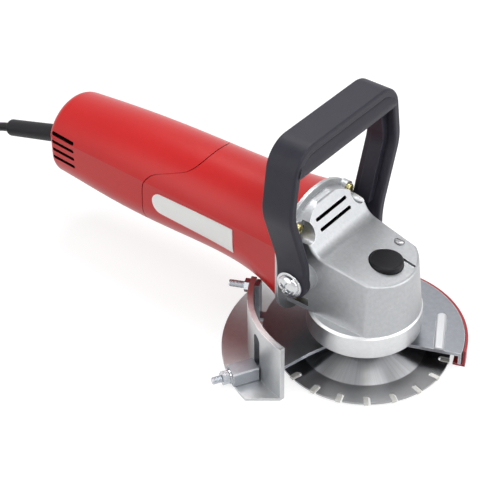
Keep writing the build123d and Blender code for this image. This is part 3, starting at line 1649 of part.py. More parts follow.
# Tie round the coil, and a moulded plug with three pins lying beside it
tie_turn = -40.0
tie_width = 10.0
tie_wall = 0.8
tie_room = 0.5
tie_turns = [(tie_turn - coil_start) / 360 + index for index in range(1, 2 * coil_turns + 1)]
tie_radii = [coil_state(turns)[0] for turns in tie_turns]
tie_inner = min(tie_radii) - cord_radius - tie_room
tie_outer = max(tie_radii) + cord_radius + tie_room
tie_top = floor_lift + layer_rise + cord_radius + tie_room / 2
coil_middle = (spindle_x + coil_x, spindle_y + coil_y)
tie_out = (cos(radians(tie_turn)), sin(radians(tie_turn)), 0)
tie_plane = Plane(
    origin=(
        coil_middle[0] - tie_out[1] * tie_width / 2,
        coil_middle[1] + tie_out[0] * tie_width / 2,
        0,
    ),
    x_dir=tie_out,
    z_dir=(tie_out[1], -tie_out[0], 0),
)
with BuildPart() as cord_tie:
    with BuildSketch(tie_plane):
        with Locations(((tie_inner + tie_outer) / 2, (tie_top + tie_wall) / 2)):
            RectangleRounded(tie_outer - tie_inner + 2 * tie_wall, tie_top + tie_wall, 6)
            RectangleRounded(tie_outer - tie_inner, tie_top - tie_wall, 5, mode=Mode.SUBTRACT)
    extrude(amount=tie_width)
save(cord_tie.part, "cord_tie")

plug_tail = 22.0
plug_tail_radius = 6.0
plug_body = 42.0
plug_radius_out = 14.6
plug_round = 3.0
pin_length = 18.0
pin_spread = 6.35
pin_rise = 3.0
pin_width = 1.5
pin_height = 6.4
earth_pin_drop = 8.5
earth_pin_radius = 2.4
plug_start = coil_exit + exit_way * lead_out


def plug_plane(distance):
    """Plane across the plug at a distance from the end of the cord."""
    return Plane(origin=plug_start + exit_way * distance, x_dir=(-exit_way.Y, exit_way.X, 0), z_dir=exit_way)


with BuildPart() as mains_plug:
    with BuildSketch(plug_plane(0)):
        Circle(plug_tail_radius)
    with BuildSketch(plug_plane(plug_tail)):
        Circle(plug_tail_radius + 2)
    loft()
    with BuildSketch(plug_plane(plug_tail)):
        Circle(plug_radius_out)
    extrude(amount=plug_body)
    round_edges = mains_plug.edges().filter_by(GeomType.CIRCLE)
    fillet(round_edges.filter_by(lambda e: e.radius > plug_radius_out - 1), plug_round)
save(mains_plug.part, "mains_plug")

with BuildPart() as plug_pins:
    with BuildSketch(plug_plane(plug_tail + plug_body)):
        with Locations((pin_spread, pin_rise), (-pin_spread, pin_rise)):
            Rectangle(pin_width, pin_height)
        with Locations((0, -earth_pin_drop)):
            Circle(earth_pin_radius)
    extrude(amount=pin_length)
save(plug_pins.part, "plug_pins")
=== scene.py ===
import math

import bpy
import numpy as np
from mathutils import Matrix


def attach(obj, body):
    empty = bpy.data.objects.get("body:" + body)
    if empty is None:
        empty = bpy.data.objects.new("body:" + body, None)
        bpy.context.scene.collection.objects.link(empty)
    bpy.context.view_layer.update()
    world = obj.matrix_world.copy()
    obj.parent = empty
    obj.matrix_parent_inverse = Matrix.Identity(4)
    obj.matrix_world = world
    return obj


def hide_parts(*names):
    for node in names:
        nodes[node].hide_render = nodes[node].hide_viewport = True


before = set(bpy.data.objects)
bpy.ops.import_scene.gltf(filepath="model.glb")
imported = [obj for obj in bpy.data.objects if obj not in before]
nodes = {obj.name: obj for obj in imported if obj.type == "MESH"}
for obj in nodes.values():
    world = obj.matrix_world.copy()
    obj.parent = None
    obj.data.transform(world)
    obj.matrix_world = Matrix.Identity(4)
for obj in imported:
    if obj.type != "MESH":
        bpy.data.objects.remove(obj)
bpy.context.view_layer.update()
spindle = (0.17378, 0.00756)  # the blade's axis in plan, metres
motorHeight = 0.0944  # the motor's axis above the floor
print("frame loaded, nodes:", len(nodes))

# camera: fitted to the photograph, aimed down at the tool from its near front
photoCamera = {"azimuth": 38.66, "elevation": 38.23, "roll": -0.68, "lens": 110.75,
               "sensor": 36.0, "farthest": 20.0, "place": (0.5658, -0.8672, 0.9226)}


def addCamera(settings):
    # right, up and back are the camera's own axes as columns of its matrix
    az, el, roll = (math.radians(settings[k]) for k in ("azimuth", "elevation", "roll"))
    ahead = np.array([-math.sin(az) * math.cos(el), math.cos(az) * math.cos(el), -math.sin(el)])
    level = np.array([math.cos(az), math.sin(az), 0.0])
    right = level * math.cos(roll) + np.cross(level, ahead) * math.sin(roll)
    up = np.cross(right, ahead)
    data = bpy.data.cameras.new("photoCamera")
    data.lens = settings["lens"]
    data.sensor_width = settings["sensor"]
    data.clip_end = settings["farthest"]
    cameraObj = bpy.data.objects.new("photoCamera", data)
    matrix = np.eye(4)
    matrix[:3, 0], matrix[:3, 1], matrix[:3, 2] = right, up, -ahead
    matrix[:3, 3] = np.array(settings["place"]) + (spindle[0], spindle[1], 0.0)
    cameraObj.matrix_world = Matrix(matrix.tolist())
    bpy.context.scene.collection.objects.link(cameraObj)
    bpy.context.scene.camera = cameraObj


addCamera(photoCamera)
print("camera set")


# small helpers for shader trees
def addNode(tree, kind, **values):
    node = tree.nodes.new(kind)
    for key, value in values.items():
        if hasattr(node, key):
            setattr(node, key, value)
        else:
            node.inputs[key.replace("_", " ")].default_value = value
    return node


def newGroup(name, inputs, outputs):
    group = bpy.data.node_groups.new(name, "ShaderNodeTree")
    for label, kind, value in inputs:
        socket = group.interface.new_socket(name=label, in_out="INPUT", socket_type="NodeSocket" + kind)
        socket.default_value = value
    for label, kind in outputs:
        group.interface.new_socket(name=label, in_out="OUTPUT", socket_type="NodeSocket" + kind)
    return group, group.nodes.new("NodeGroupInput"), group.nodes.new("NodeGroupOutput")


def placeGroup(tree, group, **values):
    node = tree.nodes.new("ShaderNodeGroup")
    node.node_tree = group
    for key, value in values.items():
        node.inputs[key].default_value = value
    return node


def makeMottle():
    # two tones mixed by soft noise in object space, with a second finer noise for speckle
    group, gin, gout = newGroup("mottle", [("Scale", "Float", 60.0), ("Contrast", "Float", 1.0),
                                           ("Dark", "Color", (0.3, 0.3, 0.3, 1)),
                                           ("Light", "Color", (0.5, 0.5, 0.5, 1))],
                                [("Color", "Color"), ("Mask", "Float")])
    link = group.links.new
    coords = addNode(group, "ShaderNodeTexCoord")
    broad = addNode(group, "ShaderNodeTexNoise", Detail=4.0, Roughness=0.6)
    fine = addNode(group, "ShaderNodeTexNoise", Detail=3.0, Roughness=0.7)
    finer = addNode(group, "ShaderNodeMath", operation="MULTIPLY")
    finer.inputs[1].default_value = 7.0  # the speckle's scale against the broad tone's
    both = addNode(group, "ShaderNodeMath", operation="MULTIPLY_ADD")
    both.inputs[1].default_value = 0.4  # the speckle's share
    spread = addNode(group, "ShaderNodeMath", operation="MULTIPLY_ADD", use_clamp=True)
    centre = addNode(group, "ShaderNodeMath", operation="SUBTRACT")
    centre.inputs[1].default_value = 0.7  # the usual sum of the two noises
    spread.inputs[2].default_value = 0.5
    tint = addNode(group, "ShaderNodeMix", data_type="RGBA")
    link(coords.outputs["Object"], broad.inputs["Vector"])
    link(coords.outputs["Object"], fine.inputs["Vector"])
    link(gin.outputs["Scale"], broad.inputs["Scale"])
    link(gin.outputs["Scale"], finer.inputs[0])
    link(finer.outputs[0], fine.inputs["Scale"])
    link(fine.outputs["Fac"], both.inputs[0])
    link(broad.outputs["Fac"], both.inputs[2])
    link(both.outputs[0], centre.inputs[0])
    link(centre.outputs[0], spread.inputs[0])
    link(gin.outputs["Contrast"], spread.inputs[1])
    link(spread.outputs[0], tint.inputs["Factor"])
    link(gin.outputs["Dark"], tint.inputs[6])
    link(gin.outputs["Light"], tint.inputs[7])
    link(tint.outputs[2], gout.inputs["Color"])
    link(spread.outputs[0], gout.inputs["Mask"])
    return group


def makeGrain():
    # a height made of cells and noise: moulded leather grain, cast skin or orange peel by its scale
    group, gin, gout = newGroup("grain", [("Scale", "Float", 900.0), ("Cells", "Float", 0.5)],
                                [("Height", "Float")])
    link = group.links.new
    coords = addNode(group, "ShaderNodeTexCoord")
    cells = addNode(group, "ShaderNodeTexVoronoi", feature="SMOOTH_F1")
    noise = addNode(group, "ShaderNodeTexNoise", Detail=5.0, Roughness=0.65)
    mix = addNode(group, "ShaderNodeMix", data_type="FLOAT")
    for texture in (cells, noise):
        link(coords.outputs["Object"], texture.inputs["Vector"])
        link(gin.outputs["Scale"], texture.inputs["Scale"])
    link(gin.outputs["Cells"], mix.inputs["Factor"])
    link(noise.outputs["Fac"], mix.inputs[2])
    link(cells.outputs["Distance"], mix.inputs[3])
    link(mix.outputs[0], gout.inputs["Height"])
    return group


def makeTurned():
    # fine rings round an upright axis: noise read along the distance from that axis
    group, gin, gout = newGroup("turned", [("Centre", "Vector", (0, 0, 0)), ("Scale", "Float", 900.0)],
                                [("Height", "Float"), ("Radius", "Float")])
    link = group.links.new
    coords = addNode(group, "ShaderNodeTexCoord")
    away = addNode(group, "ShaderNodeVectorMath", operation="SUBTRACT")
    flat = addNode(group, "ShaderNodeVectorMath", operation="MULTIPLY")
    flat.inputs[1].default_value = (1, 1, 0)
    length = addNode(group, "ShaderNodeVectorMath", operation="LENGTH")
    noise = addNode(group, "ShaderNodeTexNoise", noise_dimensions="1D", Detail=6.0, Roughness=0.7)
    link(coords.outputs["Object"], away.inputs[0])
    link(gin.outputs["Centre"], away.inputs[1])
    link(away.outputs[0], flat.inputs[0])
    link(flat.outputs[0], length.inputs[0])
    link(length.outputs["Value"], noise.inputs["W"])
    link(gin.outputs["Scale"], noise.inputs["Scale"])
    link(noise.outputs["Fac"], gout.inputs["Height"])
    link(length.outputs["Value"], gout.inputs["Radius"])
    return group


def makeEdgeWearHighlight():
    # rubbed edges, partly real wear and partly a painted edge highlight: how far a rounded normal leans from
    # the plain one, broken up by noise
    group, gin, gout = newGroup("edgeWearHighlight", [("Radius", "Float", 0.0015), ("Gain", "Float", 3.0)],
                                [("Mask", "Float")])
    link = group.links.new
    coords = addNode(group, "ShaderNodeTexCoord")
    plain = addNode(group, "ShaderNodeNewGeometry")
    rounded = addNode(group, "ShaderNodeBevel", samples=4)
    lean = addNode(group, "ShaderNodeVectorMath", operation="DOT_PRODUCT")
    off = addNode(group, "ShaderNodeMath", operation="SUBTRACT", use_clamp=True)
    off.inputs[0].default_value = 1.0
    gain = addNode(group, "ShaderNodeMath", operation="MULTIPLY", use_clamp=True)
    noise = addNode(group, "ShaderNodeTexNoise", Scale=220.0, Detail=4.0, Roughness=0.7)
    breaks = addNode(group, "ShaderNodeMapRange")  # the wear and the painted edge highlight show where the noise is above these
    breaks.inputs["From Min"].default_value, breaks.inputs["From Max"].default_value = 0.32, 0.6
    mask = addNode(group, "ShaderNodeMath", operation="MULTIPLY", use_clamp=True)
    link(gin.outputs["Radius"], rounded.inputs["Radius"])
    link(rounded.outputs["Normal"], lean.inputs[0])
    link(plain.outputs["Normal"], lean.inputs[1])
    link(lean.outputs["Value"], off.inputs[1])
    link(off.outputs[0], gain.inputs[0])
    link(gin.outputs["Gain"], gain.inputs[1])
    link(coords.outputs["Object"], noise.inputs["Vector"])
    link(noise.outputs["Fac"], breaks.inputs["Value"])
    link(gain.outputs[0], mask.inputs[0])
    link(breaks.outputs["Result"], mask.inputs[1])
    link(mask.outputs[0], gout.inputs["Mask"])
    return group


def makeSlab():
    # 1 inside a box given by its middle and half size, 0 outside
    group, gin, gout = newGroup("slab", [("Middle", "Vector", (0, 0, 0)), ("Half", "Vector", (1, 1, 1))],
                                [("Mask", "Float")])
    link = group.links.new
    coords = addNode(group, "ShaderNodeTexCoord")
    away = addNode(group, "ShaderNodeVectorMath", operation="SUBTRACT")
    plus = addNode(group, "ShaderNodeVectorMath", operation="ABSOLUTE")
    spare = addNode(group, "ShaderNodeVectorMath", operation="SUBTRACT")
    parts = addNode(group, "ShaderNodeSeparateXYZ")
    least = addNode(group, "ShaderNodeMath", operation="MINIMUM")
    lowest = addNode(group, "ShaderNodeMath", operation="MINIMUM")
    inside = addNode(group, "ShaderNodeMath", operation="GREATER_THAN")
    inside.inputs[1].default_value = 0.0
    link(coords.outputs["Object"], away.inputs[0])
    link(gin.outputs["Middle"], away.inputs[1])
    link(away.outputs[0], plus.inputs[0])
    link(gin.outputs["Half"], spare.inputs[0])
    link(plus.outputs[0], spare.inputs[1])
    link(spare.outputs[0], parts.inputs[0])
    link(parts.outputs["X"], least.inputs[0])
    link(parts.outputs["Y"], least.inputs[1])
    link(least.outputs[0], lowest.inputs[0])
    link(parts.outputs["Z"], lowest.inputs[1])
    link(lowest.outputs[0], inside.inputs[0])
    link(inside.outputs[0], gout.inputs["Mask"])
    return group


mottle, grain, turned, edgeWearHighlight, slab = makeMottle(), makeGrain(), makeTurned(), makeEdgeWearHighlight(), makeSlab()

# worn edges lightened partly as a painted edge highlight, grain and turning marks: what all finishes share
wearHighlightLook = {"width": 0.0014, "gain": 6.0, "grainDepth": 0.001, "ringStrength": 0.12, "ringDepth": 0.0006}

# finishes: two tones, how they vary, gloss, surface grain and rubbed edges, partly painted edge highlight, of
# every material
finishes = {
    "redPlastic": {"dark": (0.50, 0.009, 0.010), "light": (0.59, 0.015, 0.015), "scale": 12, "contrast": 0.9,
                   "rough": (0.27, 0.36), "spec": 0.4, "grainScale": 1500, "grain": 0.035, "cells": 0.2},
    "castAluminium": {"dark": (0.37, 0.38, 0.395), "light": (0.52, 0.53, 0.545), "scale": 330, "contrast": 1.1,
                      "metal": 0.9, "rough": (0.36, 0.5), "grainScale": 1500, "grain": 0.16, "cells": 0.35,
                      "edgeWearHighlight": 0.7, "edgeWearHighlightTint": (0.78, 0.79, 0.8)},
    "machinedAluminium": {"dark": (0.6, 0.61, 0.62), "light": (0.76, 0.77, 0.78), "scale": 260, "contrast": 1.0,
                          "metal": 0.95, "rough": (0.27, 0.4), "grainScale": 900, "grain": 0.08, "cells": 0.1,
                          "rings": 700, "edgeWearHighlight": 0.7, "edgeWearHighlightTint": (0.8, 0.8, 0.8)},
    "blackGrip": {"dark": (0.013, 0.0125, 0.020), "light": (0.026, 0.025, 0.038), "scale": 60, "contrast": 1.0,
                  "rough": (0.4, 0.55), "spec": 0.28, "grainScale": 1700, "grain": 0.2, "cells": 0.6,
                  "edgeWearHighlight": 0.45, "edgeWearHighlightTint": (0.085, 0.083, 0.1)},
    "buttonBlack": {"dark": (0.006, 0.006, 0.008), "light": (0.012, 0.012, 0.015), "scale": 60, "contrast": 1.0,
                    "rough": (0.3, 0.42), "spec": 0.22, "grainScale": 1600, "grain": 0.1, "cells": 0.4},
    "guardPlate": {"dark": (0.25, 0.265, 0.29), "light": (0.35, 0.365, 0.395), "scale": 260, "contrast": 1.0,
                   "metal": 0.95, "rough": (0.27, 0.38), "grainScale": 1100, "grain": 0.035, "cells": 0.2,
                   "edgeWearHighlight": 0.8, "edgeWearHighlightTint": (0.75, 0.76, 0.78)},
    "baseMetal": {"dark": (0.46, 0.47, 0.48), "light": (0.6, 0.61, 0.62), "scale": 260, "contrast": 1.0,
                  "metal": 0.95, "rough": (0.28, 0.4), "grainScale": 1100, "grain": 0.05, "cells": 0.2,
                  "edgeWearHighlight": 0.8, "edgeWearHighlightTint": (0.75, 0.76, 0.77)},
    # the blade's dish tones and streaks are painted highlight standing in for the dish's reflection
    "bladeSteel": {"dark": (0.31, 0.31, 0.32), "light": (0.42, 0.42, 0.43), "scale": 60, "contrast": 0.9,
                   "metal": 1.0, "rough": (0.3, 0.38), "grainScale": 800, "grain": 0.08, "cells": 0.0,
                   "rings": 900, "dish": 0.0566, "dishEdge": 0.0006, "highlightStreaks": (0.3, 0.7),
                   "dishHighlightTones": ((0.62, 0.62, 0.63), (0.8, 0.81, 0.83)), "brushed": 0.9, "brushTurn": 0.25},
    # carbide tips: a light tone, partly their own grey and partly painted light standing in for the lit floor
    # seen through the blade's slots
    "carbideTip": {"dark": (0.5, 0.49, 0.47), "light": (0.72, 0.71, 0.68), "scale": 400, "contrast": 1.0,
                   "metal": 0.6, "rough": (0.35, 0.5), "grainScale": 3000, "grain": 0.1, "cells": 0.3},
    "turnedSteel": {"dark": (0.38, 0.38, 0.39), "light": (0.58, 0.58, 0.59), "scale": 80, "contrast": 1.1,
                    "metal": 0.95, "rough": (0.22, 0.38), "grainScale": 1500, "grain": 0.06, "cells": 0.1},
    "rivetSteel": {"dark": (0.2, 0.2, 0.21), "light": (0.34, 0.34, 0.35), "scale": 300, "contrast": 1.1,
                   "metal": 0.95, "rough": (0.35, 0.5), "grainScale": 1500, "grain": 0.1, "cells": 0.2},
    "brightPlate": {"dark": (0.5, 0.51, 0.52), "light": (0.66, 0.67, 0.68), "scale": 120, "contrast": 1.0,
                    "metal": 1.0, "rough": (0.1, 0.18), "grainScale": 900, "grain": 0.03, "cells": 0.1},
    "yellowZinc": {"dark": (0.40, 0.34, 0.12), "light": (0.6, 0.55, 0.28), "scale": 300, "contrast": 1.6,
                   "metal": 0.95, "rough": (0.22, 0.36), "grainScale": 2500, "grain": 0.06, "cells": 0.2},
    "whiteZinc": {"dark": (0.36, 0.38, 0.41), "light": (0.6, 0.63, 0.67), "scale": 300, "contrast": 1.4,
                  "metal": 1.0, "rough": (0.18, 0.32), "grainScale": 2500, "grain": 0.06, "cells": 0.2},
    "redPaint": {"dark": (0.30, 0.014, 0.022), "light": (0.40, 0.022, 0.030), "scale": 50, "contrast": 1.0,
                 "rough": (0.3, 0.42), "spec": 0.35, "grainScale": 1300, "grain": 0.06, "cells": 0.2,
                 "edgeWearHighlight": 0.35, "edgeWearHighlightTint": (0.42, 0.30, 0.30)},
    "stackedIron": {"dark": (0.10, 0.10, 0.11), "light": (0.2, 0.2, 0.21), "scale": 90, "contrast": 1.3,
                    "metal": 0.8, "rough": (0.45, 0.6), "grainScale": 1500, "grain": 0.1, "cells": 0.2},
    "copperWire": {"dark": (0.4, 0.14, 0.06), "light": (0.72, 0.3, 0.15), "scale": 200, "contrast": 1.3,
                   "metal": 0.8, "rough": (0.28, 0.42), "grainScale": 1800, "grain": 0.2, "cells": 0.6},
    "bronze": {"dark": (0.38, 0.24, 0.1), "light": (0.58, 0.4, 0.2), "scale": 200, "contrast": 1.2,
               "metal": 0.9, "rough": (0.35, 0.5), "grainScale": 2500, "grain": 0.1, "cells": 0.3},
    "carbonBlock": {"dark": (0.018, 0.018, 0.018), "light": (0.05, 0.05, 0.05), "scale": 300, "contrast": 1.2,
                    "rough": (0.5, 0.65), "grainScale": 3000, "grain": 0.1, "cells": 0.3},
    "innerPlastic": {"dark": (0.02, 0.02, 0.022), "light": (0.04, 0.04, 0.042), "scale": 60, "contrast": 1.0,
                     "rough": (0.45, 0.6), "spec": 0.3, "grainScale": 1600, "grain": 0.08, "cells": 0.4},
    "labelFilm": {"dark": (0.88, 0.88, 0.86), "light": (0.94, 0.94, 0.93), "scale": 30, "contrast": 0.8,
                  "rough": (0.3, 0.42), "spec": 0.4, "grainScale": 1200, "grain": 0.02, "cells": 0.1},
    "blackRubber": {"dark": (0.010, 0.010, 0.012), "light": (0.021, 0.021, 0.024), "scale": 70, "contrast": 1.0,
                    "rough": (0.42, 0.56), "spec": 0.2, "grainScale": 1900, "grain": 0.12, "cells": 0.4},
    "pinBrass": {"dark": (0.5, 0.38, 0.16), "light": (0.74, 0.6, 0.32), "scale": 200, "contrast": 1.1,
                 "metal": 1.0, "rough": (0.2, 0.34), "grainScale": 2500, "grain": 0.05, "cells": 0.2},
}
# the guard plate's raised bead is painted lighter: a painted highlight standing in for its reflection
finishes["beadedPlate"] = dict(finishes["guardPlate"], bead=((0.058, 0.0355, 0.0215), (0.02, 0.029, 0.0021)),
                               beadHighlightTint=(0.66, 0.67, 0.69))
# the cover and the gear case, whose insides behind the vents are painted near black: painted shade in the
# hollows
finishes["redCoverPaintedShade"] = dict(finishes["redPlastic"], paintedShade="barrel",
                            paintedShadeZone=((-0.3195, 0, 0.0965), (0.0205, 0.05, 0.026)))
finishes["ventedCasePaintedShade"] = dict(finishes.pop("castAluminium"), paintedShade="hood",
                              paintedShadeZone=((-0.0425, 0, 0.1255), (0.0175, 0.0236, 0.0135)))
# painted shade: a near-black tone laid on the insides behind the vents, where shade falls
paintedShadeLook = {"tone": (0.006, 0.005, 0.005), "outward": 0.55,
              "slopeFoot": (-0.025, 0.0, 0.1145), "slopeAngle": 58.0, "skin": 0.0012}


def boxMask(tree, box):
    # a box given by its middle, measured from the spindle, and its half size
    middle, half = box
    centre = (spindle[0] + middle[0], spindle[1] + middle[1], middle[2])
    placed = placeGroup(tree, slab, Middle=centre, Half=half)
    return placed.outputs["Mask"]


def paintedShadeMask(tree, look):
    # where the painted shade goes inside the vented parts. barrel: faces that don't look outwards from the
    # motor's axis; hood: points below the slope's skin
    link = tree.links.new
    coords = addNode(tree, "ShaderNodeTexCoord")
    away = addNode(tree, "ShaderNodeVectorMath", operation="SUBTRACT")
    lean = addNode(tree, "ShaderNodeVectorMath", operation="DOT_PRODUCT")
    test = addNode(tree, "ShaderNodeMath", operation="LESS_THAN")
    link(coords.outputs["Object"], away.inputs[0])
    if look["paintedShade"] == "barrel":
        away.inputs[1].default_value = (spindle[0], spindle[1], motorHeight)
        across = addNode(tree, "ShaderNodeVectorMath", operation="MULTIPLY")
        across.inputs[1].default_value = (0, 1, 1)
        unit = addNode(tree, "ShaderNodeVectorMath", operation="NORMALIZE")
        faces = addNode(tree, "ShaderNodeNewGeometry")
        link(away.outputs[0], across.inputs[0])
        link(across.outputs[0], unit.inputs[0])
        link(unit.outputs[0], lean.inputs[0])
        link(faces.outputs["True Normal"], lean.inputs[1])
        test.inputs[1].default_value = paintedShadeLook["outward"]
    else:
        foot, angle = paintedShadeLook["slopeFoot"], math.radians(paintedShadeLook["slopeAngle"])
        away.inputs[1].default_value = (spindle[0] + foot[0], spindle[1] + foot[1], foot[2])
        link(away.outputs[0], lean.inputs[0])
        lean.inputs[1].default_value = (math.sin(angle), 0, math.cos(angle))
        test.inputs[1].default_value = -paintedShadeLook["skin"]
    link(lean.outputs["Value"], test.inputs[0])
    both = addNode(tree, "ShaderNodeMath", operation="MULTIPLY")
    link(test.outputs[0], both.inputs[0])
    link(boxMask(tree, look["paintedShadeZone"]), both.inputs[1])
    return both.outputs[0]


def dishHighlightParts(tree, look):
    # inside the dish's radius: a mask, and painted highlight streaks that run out from the axis as noise read
    # round the angle
    link = tree.links.new
    coords = addNode(tree, "ShaderNodeTexCoord")
    away = addNode(tree, "ShaderNodeVectorMath", operation="SUBTRACT")
    away.inputs[1].default_value = (spindle[0], spindle[1], 0.0)
    flat = addNode(tree, "ShaderNodeVectorMath", operation="MULTIPLY")
    flat.inputs[1].default_value = (1, 1, 0)
    length = addNode(tree, "ShaderNodeVectorMath", operation="LENGTH")
    unit = addNode(tree, "ShaderNodeVectorMath", operation="NORMALIZE")
    highlightStreaks = addNode(tree, "ShaderNodeTexNoise", Scale=16.0, Detail=5.0, Roughness=0.75)
    mask = addNode(tree, "ShaderNodeMapRange")
    mask.inputs["From Min"].default_value = look["dish"] + look["dishEdge"]
    mask.inputs["From Max"].default_value = look["dish"] - look["dishEdge"]
    spread = addNode(tree, "ShaderNodeMapRange")
    spread.inputs["From Min"].default_value, spread.inputs["From Max"].default_value = look["highlightStreaks"]
    tint = addNode(tree, "ShaderNodeMix", data_type="RGBA")
    tint.inputs[6].default_value, tint.inputs[7].default_value = ((*tone, 1) for tone in look["dishHighlightTones"])
    link(coords.outputs["Object"], away.inputs[0])
    link(away.outputs[0], flat.inputs[0])
    link(flat.outputs[0], length.inputs[0])
    link(flat.outputs[0], unit.inputs[0])
    link(unit.outputs[0], highlightStreaks.inputs["Vector"])
    link(length.outputs["Value"], mask.inputs["Value"])
    link(highlightStreaks.outputs["Fac"], spread.inputs["Value"])
    link(spread.outputs["Result"], tint.inputs["Factor"])
    return mask.outputs["Result"], tint.outputs[2]


def mixTone(tree, colour, mask, tint):
    mix = addNode(tree, "ShaderNodeMix", data_type="RGBA")
    mix.inputs[7].default_value = (*tint, 1)
    tree.links.new(colour, mix.inputs[6])
    tree.links.new(mask, mix.inputs["Factor"])
    return mix.outputs[2]


def makeFinish(name, look):
    material = bpy.data.materials.new(name)
    material.use_nodes = True
    tree = material.node_tree
    link = tree.links.new
    shader = tree.nodes["Principled BSDF"]
    shader.inputs["Metallic"].default_value = look.get("metal", 0.0)
    shader.inputs["Specular IOR Level"].default_value = look.get("spec", 0.5)
    tones = placeGroup(tree, mottle, Scale=look["scale"], Contrast=look["contrast"],
                       Dark=(*look["dark"], 1), Light=(*look["light"], 1))
    colour = tones.outputs["Color"]
    # rubbed edges: partly real wear, partly a painted edge highlight
    if "edgeWearHighlight" in look:
        wornLitEdge = placeGroup(tree, edgeWearHighlight, Radius=wearHighlightLook["width"], Gain=wearHighlightLook["gain"] * look["edgeWearHighlight"])
        colour = mixTone(tree, colour, wornLitEdge.outputs["Mask"], look["edgeWearHighlightTint"])
    # painted highlight: the dish is painted lighter, with streaks round the angle, standing in for its
    # reflection
    if "dish" in look:
        mask, highlightStreaks = dishHighlightParts(tree, look)
        mix = addNode(tree, "ShaderNodeMix", data_type="RGBA")
        link(mask, mix.inputs["Factor"])
        link(colour, mix.inputs[6])
        link(highlightStreaks, mix.inputs[7])
        colour = mix.outputs[2]
        # ground in circles, so light spreads along the radius
        shader.inputs["Anisotropic"].default_value = look["brushed"]
        shader.inputs["Anisotropic Rotation"].default_value = look["brushTurn"]
        circles = addNode(tree, "ShaderNodeTangent", direction_type="RADIAL", axis="Z")
        link(circles.outputs["Tangent"], shader.inputs["Tangent"])
    # painted highlight: the raised bead is painted lighter
    if "bead" in look:
        colour = mixTone(tree, colour, boxMask(tree, look["bead"]), look["beadHighlightTint"])
    # painted shade: the insides behind the vents are painted near black
    if "paintedShade" in look:
        colour = mixTone(tree, colour, paintedShadeMask(tree, look), paintedShadeLook["tone"])
    link(colour, shader.inputs["Base Color"])
    gloss = addNode(tree, "ShaderNodeMapRange")
    gloss.inputs["To Min"].default_value, gloss.inputs["To Max"].default_value = look["rough"]
    link(tones.outputs["Mask"], gloss.inputs["Value"])
    link(gloss.outputs["Result"], shader.inputs["Roughness"])
    skin = placeGroup(tree, grain, Scale=look["grainScale"], Cells=look["cells"])
    bump = addNode(tree, "ShaderNodeBump", Strength=look["grain"], Distance=wearHighlightLook["grainDepth"])
    link(skin.outputs["Height"], bump.inputs["Height"])
    if "rings" in look:
        rings = placeGroup(tree, turned, Centre=(spindle[0], spindle[1], 0.0), Scale=look["rings"])
        ringBump = addNode(tree, "ShaderNodeBump", Strength=wearHighlightLook["ringStrength"],
                           Distance=wearHighlightLook["ringDepth"])
        link(rings.outputs["Height"], ringBump.inputs["Height"])
        link(bump.outputs["Normal"], ringBump.inputs["Normal"])
        bump = ringBump
    link(bump.outputs["Normal"], shader.inputs["Normal"])
    return material


materials = {name: makeFinish(name, look) for name, look in finishes.items()}

# which finish each CAD node wears
dress = {
    "redPlastic": "motor_housing",
    "redCoverPaintedShade": "rear_cover",
    "ventedCasePaintedShade": "gear_case",
    "machinedAluminium": "bearing_cover",
    "blackGrip": "bail_handle",
    "buttonBlack": "lock_button switch_slider cord_tie",
    "beadedPlate": "guard_plate",
    "guardPlate": "clamp_block",
    "baseMetal": "base_bracket",
    "bladeSteel": "saw_blade",
    "carbideTip": "carbide_tips",
    "turnedSteel": "spindle bevel_gear pinion armature_shaft inner_flange blade_nut spindle_bearing "
                   "front_bearing rear_bearing lock_pin lock_spring grease_plug",
    "rivetSteel": "band_rivets",
    "brightPlate": "handle_bolts",
    "yellowZinc": "case_screws cover_screws rear_cover_screws guard_screw",
    "whiteZinc": "height_stud height_nut lock_screw lock_nut",
    "redPaint": "red_band",
    "stackedIron": "stator_core armature_core",
    "copperWire": "field_coils armature_windings commutator",
    "bronze": "spindle_bush",
    "carbonBlock": "carbon_brushes",
    "innerPlastic": "brush_holders fan_baffle cooling_fan switch_body cord_clamp",
    "labelFilm": "label_plate",
    "blackRubber": "strain_relief mains_plug cord_run cord_coil",
    "pinBrass": "plug_pins",
}
for finish, names in dress.items():
    for name in names.split():
        mesh = nodes[name].data
        mesh.materials.clear()
        mesh.materials.append(materials[finish])
print("finishes on nodes:", sum(len(names.split()) for names in dress.values()))

# cord: leaves the strain relief, drops to the floor and lies in a tied coil of two flat spirals
cordRoute = {"radius": 0.0045, "coilCentre": (-0.560, -0.062), "startAngle": 105.0, "turns": 3, "outer": 0.0684,
             "pitch": 0.0096, "rise": 0.0096, "lift": 0.0055, "perTurn": 24, "leadOut": 0.030, "length": 2.35,
             "run": ((-0.43495, 0.0, 0.05841), (-0.4589, 0.0, 0.05123), (-0.489, 0.007, 0.029),
                     (-0.519, 0.0135, 0.011), (-0.5487, 0.0119, 0.0055))}


def coilPoints(route):
    # radius falls by one pitch a turn, dips and climbs a layer in half a turn, then grows again
    turns = np.arange(0, (2 * route["turns"] + 0.5) * route["perTurn"] + 0.5) / route["perTurn"]
    inner = route["outer"] - route["pitch"] * route["turns"]
    part = np.clip(2 * (turns - route["turns"]), 0, 1)
    down = route["outer"] - route["pitch"] * np.minimum(turns, route["turns"])
    dip = -route["pitch"] * part * (1 - part) / 2
    out = route["pitch"] * np.maximum(turns - route["turns"] - 0.5, 0)
    radius = np.maximum(down, inner) + dip + out
    angle = math.radians(route["startAngle"]) + 2 * math.pi * turns
    height = route["lift"] + route["rise"] * part * part * (3 - 2 * part)
    centre = route["coilCentre"]
    return np.stack([centre[0] + radius * np.cos(angle), centre[1] + radius * np.sin(angle), height], axis=1)


